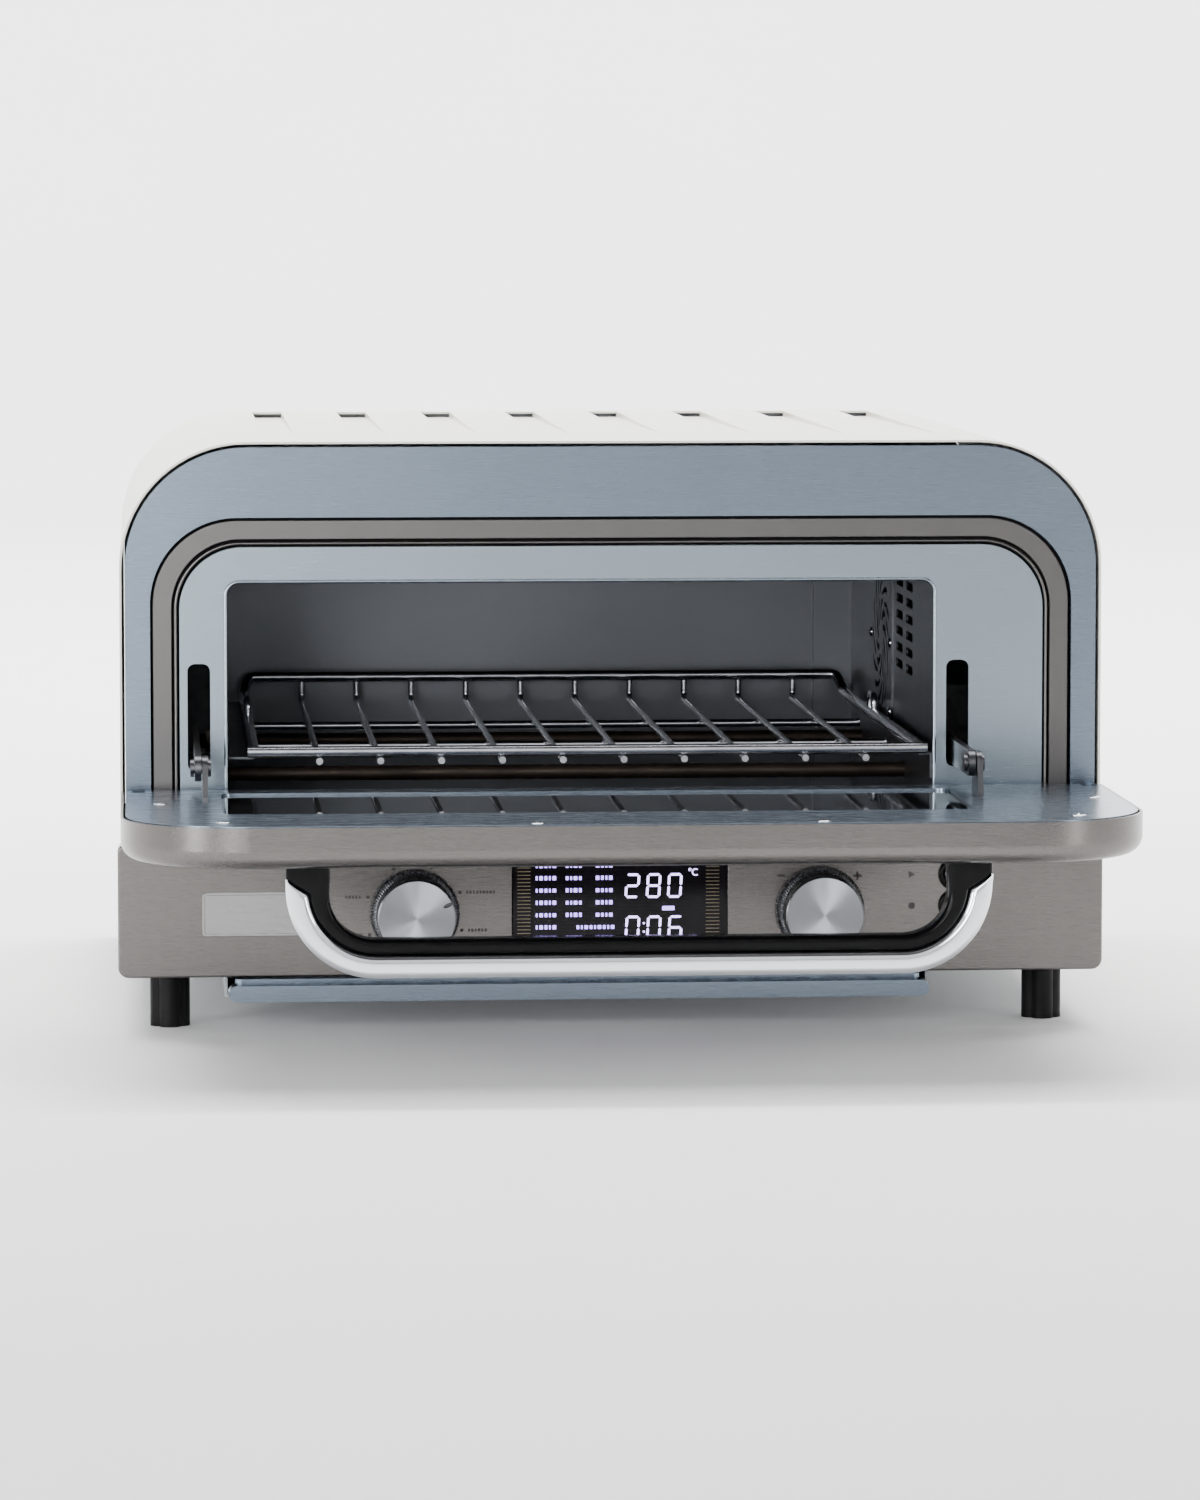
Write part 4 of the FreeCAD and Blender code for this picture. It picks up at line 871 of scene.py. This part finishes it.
def opening_lip(look):
    """Rounded lip round the mouth of the oven."""
    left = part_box("cavity_side_left")[1][0]
    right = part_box("cavity_side_right")[0][0]
    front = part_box("inner_front_plate")[0][1]
    size = 0.9 * MM
    work = bmesh.new()
    rings = []
    for turn in range(0, 360, 30):
        inset = size * math.cos(math.radians(turn)) + 0.4 * MM
        y = front + size * math.sin(math.radians(turn)) + 0.2 * MM
        rings.append([Vector((x, y, z)) for x, z in rounded(
            left + inset, right - inset, MOUTH_SILL + inset, MOUTH_TOP - inset,
            7 * MM - inset, 10)])
    rings.append(rings[0])
    loft(work, rings, capped=False)
    bmesh.ops.remove_doubles(work, verts=work.verts, dist=1e-7)
    add_piece("opening_lip", finish_mesh("opening_lip", work), "oven_body", [look["plate"]])


def fan_guard(look):
    """Guard plate over the fan, with a swirl of curved slots."""
    low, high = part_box("fan_guard")
    middle = centre("fan_guard")
    thick = high[0] - low[0]
    work = bmesh.new()
    outline = rounded(low[1], high[1], low[2], high[2], 8 * MM, 6)
    loft(work, [[Vector((x, y, z)) for y, z in outline] for x in (low[0], high[0])])
    piece = add_piece("fan_guard_plate", finish_mesh("fan_guard_plate", work), "oven_body",
                      [look["lining"]])
    tool = bmesh.new()
    sweep, steps = 0.55, 6
    for count, inner, outer in ((10, 9 * MM, 20 * MM), (14, 22 * MM, 34 * MM)):
        for index in range(count):
            start = 2 * math.pi * index / count
            rings = []
            for step in range(steps + 1):
                radius = inner + (outer - inner) * step / steps
                angle = start + sweep * step / steps
                spot = Vector((0, radius * math.cos(angle), radius * math.sin(angle)))
                across = Vector((0, -math.sin(angle), math.cos(angle))) * (1.7 + 0.2 * step) * MM
                rings.append([middle + spot + side * across + Vector((x, 0, 0))
                              for side, x in ((-1, -thick), (1, -thick), (1, thick), (-1, thick))])
            loft(tool, rings)
    bmesh.ops.recalc_face_normals(tool, faces=tool.faces)
    slots = bpy.data.meshes.new("slots")
    tool.to_mesh(slots)
    tool.free()
    carve(piece, slots)
    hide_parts("fan_guard")


def painted_shade_pad(look):
    """Black pad behind the slots of the right wall that paints the shade inside the shell, with
    rounded corners and a soft edge.
    """
    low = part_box("fan_guard")[0]
    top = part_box("cavity_roof")[0][2]
    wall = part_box("cavity_side_right")[1][0]
    work = bmesh.new()
    rings = []
    # (how far the outline is drawn in, distance outside the wall), in mm
    for inset, x in ((0.0, 4.0), (0.0, 5.5), (1.0, 7.0), (2.5, 7.5)):
        outline = rounded(low[1] - (86 - inset) * MM, low[1] - inset * MM,
                          low[2] + (18 + inset) * MM, top - (8 + inset) * MM, 5 * MM)
        rings.append([Vector((wall + x * MM, y, z)) for y, z in outline])
    loft(work, rings)
    add_piece("painted_shade_pad", finish_mesh("painted_shade_pad", work), "oven_body", [look["dark"]])


# ---- stage ---------------------------------------------------------------------------------

def stage():
    """Pale round floor that curves up into a wall on every side."""
    floor = Surface("studio_floor", (0.86, 0.86, 0.86), 0.8, Emission_Strength=0.05)
    floor.set("Emission Color", (1, 1, 1, 1))
    floor.vary_colour(floor.noise(3), 0.01)
    reach, curve, steps = 4.2, 1.4, 96
    profile = [(0.6, 0.0), (reach, 0.0)]
    for degrees in range(10, 91, 10):
        angle = math.radians(degrees)
        profile.append((reach + curve * math.sin(angle), curve - curve * math.cos(angle)))
    profile.append((reach + curve, 4.5))
    work = bmesh.new()
    rows = [[work.verts.new((radius * math.cos(2 * math.pi * i / steps),
                             radius * math.sin(2 * math.pi * i / steps), z))
             for i in range(steps)] for radius, z in profile]
    work.faces.new(rows[0])
    for near, far in zip(rows, rows[1:]):
        for i in range(steps):
            j = (i + 1) % steps
            work.faces.new((near[i], far[i], far[j], near[j]))
    mesh = finish_mesh("studio_floor", work)
    mesh.materials.append(floor.material)
    floor_object = bpy.data.objects.new("studio_floor", mesh)
    bpy.context.scene.collection.objects.link(floor_object)


def area_light(name, place, aim, width, height, power, colour=(1, 1, 1)):
    """Soft rectangular light that faces a point."""
    data = bpy.data.lights.new(name, "AREA")
    data.shape = "RECTANGLE"
    data.size, data.size_y = width, height
    data.energy = power
    data.color = colour
    light = bpy.data.objects.new(name, data)
    bpy.context.scene.collection.objects.link(light)
    light.location = place
    light.rotation_euler = (Vector(aim) - Vector(place)).to_track_quat("-Z", "Y").to_euler()


def lighting():
    """Pale surroundings, a broad light overhead and softer ones at both sides."""
    world = bpy.data.worlds.new("studio_air")
    world.use_nodes = True
    air = world.node_tree.nodes["Background"].inputs
    air["Color"].default_value = (0.93, 0.96, 1.0, 1)
    air["Strength"].default_value = 0.12
    bpy.context.scene.world = world
    middle = (0, 0, 0.15)
    wall = (0, 4.6, 0.4)
    # name, place, aim, width, height, watts, colour
    area_light("overhead", (0, 0.5, 2.4), middle, 2.6, 1.8, 112)
    area_light("left_side", (-2.5, -2.3, 0.55), middle, 0.7, 1.2, 60, (0.97, 0.98, 1.0))
    area_light("left_front", (-0.9, -3.1, 0.7), middle, 0.8, 1.4, 42, (0.98, 0.99, 1.0))
    area_light("right_side", (2.3, -2.2, 0.5), middle, 0.5, 1.0, 22, (1.0, 0.99, 0.97))
    area_light("backdrop", (0, 1.6, 3.4), wall, 5.0, 1.2, 700)


def camera():
    """Long lens, a little above the oven and to its left."""
    azimuth, elevation = math.radians(-4.3), math.radians(4.86)
    distance = 2.894
    target = Vector((0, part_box("front_fascia")[0][1], 0.15))
    data = bpy.data.cameras.new("studio_camera")
    data.lens = 149.5
    data.sensor_width = 36
    data.shift_x = -0.0087
    data.shift_y = -0.0267
    item = bpy.data.objects.new("studio_camera", data)
    bpy.context.scene.collection.objects.link(item)
    item.location = target + distance * Vector((
        math.sin(azimuth) * math.cos(elevation), -math.cos(azimuth) * math.cos(elevation),
        math.sin(elevation)))
    item.rotation_euler = (target - item.location).to_track_quat("-Z", "Y").to_euler()
    bpy.context.scene.camera = item


def main():
    """Makes the looks, then the pieces, then the studio round them."""
    look = make_materials()
    dress_nodes(look)
    knob("selector_knob", look, "selector", True)
    knob("dial_knob", look, "dial", False)
    handle(look)
    screws("rear_screws", "oven_body", look, (0, 1, 0), 3.3 * MM, 1.7 * MM)
    screws("guard_screws", "oven_body", look, (-1, 0, 0), 2.4 * MM, 1.4 * MM)
    screws("door_screws", "door", look, (0, 0, 1), 3.2 * MM, 0.6 * MM, 0.5 * MM)
    display(look)
    markings(look)
    buttons(look)
    badge(look)
    front_ring(look)
    opening_lip(look)
    fan_guard(look)
    painted_shade_pad(look)
    stage()
    lighting()
    camera()


main()
